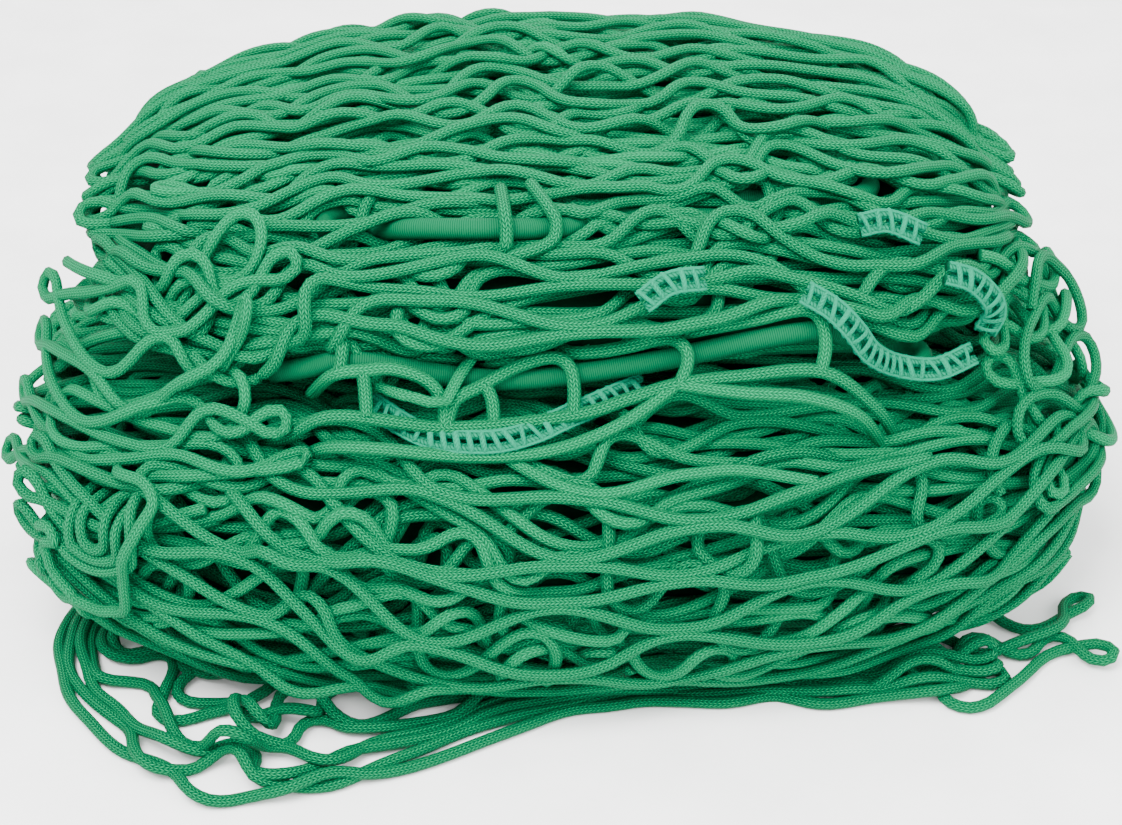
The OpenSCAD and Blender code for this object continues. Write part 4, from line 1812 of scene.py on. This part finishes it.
@dataclass
class Binding:
    """A stretch of the stitched border: a doubled twine with yarn stitched over it."""

    node: str
    body: Body
    route: Array
    width: float = 8.5 * MM
    thick: float = 5.0 * MM
    pitch: float = 4.8 * MM
    yarn: float = 1.4 * MM
    seed: int = 31

    def keep_out(self) -> KeepOut:
        """The path that the netting stays clear of."""
        return KeepOut(smooth_path(self.route, 3.0), 6.0 * MM)

    def build(self) -> None:
        """Builds the stretch."""
        path = smooth_path(self.route, 12.0)
        travel = np.concatenate([[0.0], np.linalg.norm(np.diff(path, axis=0), axis=1).cumsum()])
        count = max(6, int(travel[-1] / (2.0 * MM)))
        even = np.linspace(0.0, travel[-1], count)
        path = np.stack([np.interp(even, travel, path[:, k]) for k in range(3)], axis=1)
        tangent = unit(np.gradient(path, axis=0))
        face = np.tile(np.array([0.0, -0.84, 0.54]), (count, 1))
        face = unit(face - (face * tangent).sum(1, keepdims=True) * tangent)
        across = np.cross(tangent, face)
        sweep = Sweep(self.node.replace("edge_binding", "binding_stitches"), sides=8)
        half = 0.5 * (self.width - 3.6 * MM)
        for side in (-1.0, 1.0):
            sweep.cord(path + across * side * half, face, 3.8 * MM, 3.8 * MM, 0.1)
            edge = path + across * side * (0.5 * self.width - 0.4 * MM) + face * 1.2 * MM
            sweep.cord(edge, face, self.yarn, self.yarn, 0.9)
        stitches = int(travel[-1] / self.pitch)
        rng = np.random.default_rng(self.seed)
        angle = np.linspace(0.0, 2.0 * math.pi, 20, endpoint=False)
        for number in range(stitches):
            at = (number + 0.5) * self.pitch
            spot = np.array([np.interp(at, even, path[:, k]) for k in range(3)])
            row = min(count - 1, int(round(at / (2.0 * MM))))
            lean = tangent[row] * float(rng.normal(1.3, 0.8)) * MM
            ring = (spot + across[row] * (0.5 * self.width * np.cos(angle))[:, None]
                    + face[row] * (0.5 * self.thick * np.sin(angle))[:, None]
                    + lean * np.cos(angle)[:, None])
            out = unit(ring - spot)
            broad = float(rng.uniform(1.6, 2.6)) * MM
            sweep.cord(ring, out, broad, 1.2 * MM, float(rng.uniform(0.5, 1.0)), closed=True)
        piece = sweep.build()
        piece.data.materials.append(BINDING.make())
        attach(piece, self.body.value)
        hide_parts(self.node)
        log.info("%s: %d stitches", piece.name, stitches)


def route(*points: tuple[float, float, float]) -> Array:
    """A route through points given in millimetres."""
    return np.array(points) * MM


BINDINGS = (
    Binding("edge_binding_front", Body.LOWER,
            route((-76, -94, 124), (-64, -108, 123), (-52, -114, 120), (-32, -116, 119),
                  (-17, -114, 121), (-4, -109, 124), (10, -102, 126), (26, -92, 127))),
    Binding("edge_binding_right", Body.LOWER,
            route((83, -98, 168), (93, -102, 163), (101, -104, 155), (109, -101, 143),
                  (121, -94, 133), (136, -92, 130), (151, -85, 132))),
    Binding("edge_binding_upper_right", Body.UPPER,
            route((157, -77, 137), (159, -79, 146), (156, -81, 154), (148, -82, 162),
                  (138, -83, 166))),
    Binding("edge_binding_crown_right", Body.UPPER,
            route((107, -69, 179), (118, -68, 180), (131, -70, 175))),
    Binding("edge_binding_middle", Body.UPPER,
            route((24, -101, 167), (34, -98, 173), (47, -95, 173))),
)


@dataclass
class Studio:
    """The camera, the floor and soft light."""

    azimuth: float = -3.0
    elevation: float = 33.0
    distance: float = 0.9
    lens: float = 68.0
    target: tuple[float, float, float] = (0.0, -0.004, 0.058)

    def build(self) -> None:
        """Sets up the studio."""
        scene = bpy.context.scene
        turn, lift = math.radians(self.azimuth), math.radians(self.elevation)
        back = Vector((math.sin(turn) * math.cos(lift), -math.cos(turn) * math.cos(lift),
                       math.sin(lift)))
        camera_data = bpy.data.cameras.new("camera")
        camera_data.lens = self.lens
        camera_data.sensor_width = 36.0
        camera_data.dof.use_dof = False
        camera = bpy.data.objects.new("camera", camera_data)
        camera.location = Vector(self.target) + back * self.distance
        camera.rotation_euler = back.to_track_quat("Z", "Y").to_euler()
        scene.collection.objects.link(camera)
        scene.camera = camera
        self._floor()
        self._light("key_light", (-0.35, -0.55, 1.15), 0.7, 48.0)
        self._light("fill_light", (0.9, -0.7, 0.7), 0.8, 17.0)
        self._light("back_light", (0.1, 1.0, 0.9), 0.9, 16.0)
        world = bpy.data.worlds.new("studio")
        world.use_nodes = True
        world.node_tree.nodes["Background"].inputs[0].default_value = (1.0, 1.0, 1.0, 1.0)
        world.node_tree.nodes["Background"].inputs[1].default_value = 2.4
        scene.world = world

    def _floor(self) -> None:
        """Lays a plain pale floor."""
        shape = bmesh.new()
        bmesh.ops.create_grid(shape, x_segments=1, y_segments=1, size=6.0)
        mesh = bpy.data.meshes.new("floor")
        shape.to_mesh(mesh)
        shape.free()
        floor = bpy.data.objects.new("floor", mesh)
        floor.location = (0.0, 0.0, 0.0)
        bpy.context.scene.collection.objects.link(floor)
        mesh.materials.append(FLOOR.make())

    def _light(self, name: str, place: tuple, size: float, power: float) -> None:
        """Adds a square area light that faces the object."""
        data = bpy.data.lights.new(name, "AREA")
        data.size = size
        data.energy = power
        light = bpy.data.objects.new(name, data)
        light.location = place
        away = Vector(place) - Vector(self.target)
        light.rotation_euler = away.to_track_quat("Z", "Y").to_euler()
        bpy.context.scene.collection.objects.link(light)


def main() -> None:
    """Builds the scene, one part after another."""
    logging.basicConfig(level=logging.INFO, format="%(message)s")
    Studio().build()
    for lobe in (LOWER, UPPER):
        lobe.prepare()
    elastic = Elastic()
    elastic.build()
    Netting().build(elastic)
    ShadedInnerLayers(LOWER, Body.LOWER, 19.0 * MM).build()
    ShadedInnerLayers(UPPER, Body.UPPER, 17.0 * MM, 48, 36).build()
    for stretch in BINDINGS:
        stretch.build()


if __name__ == "__main__":
    main()
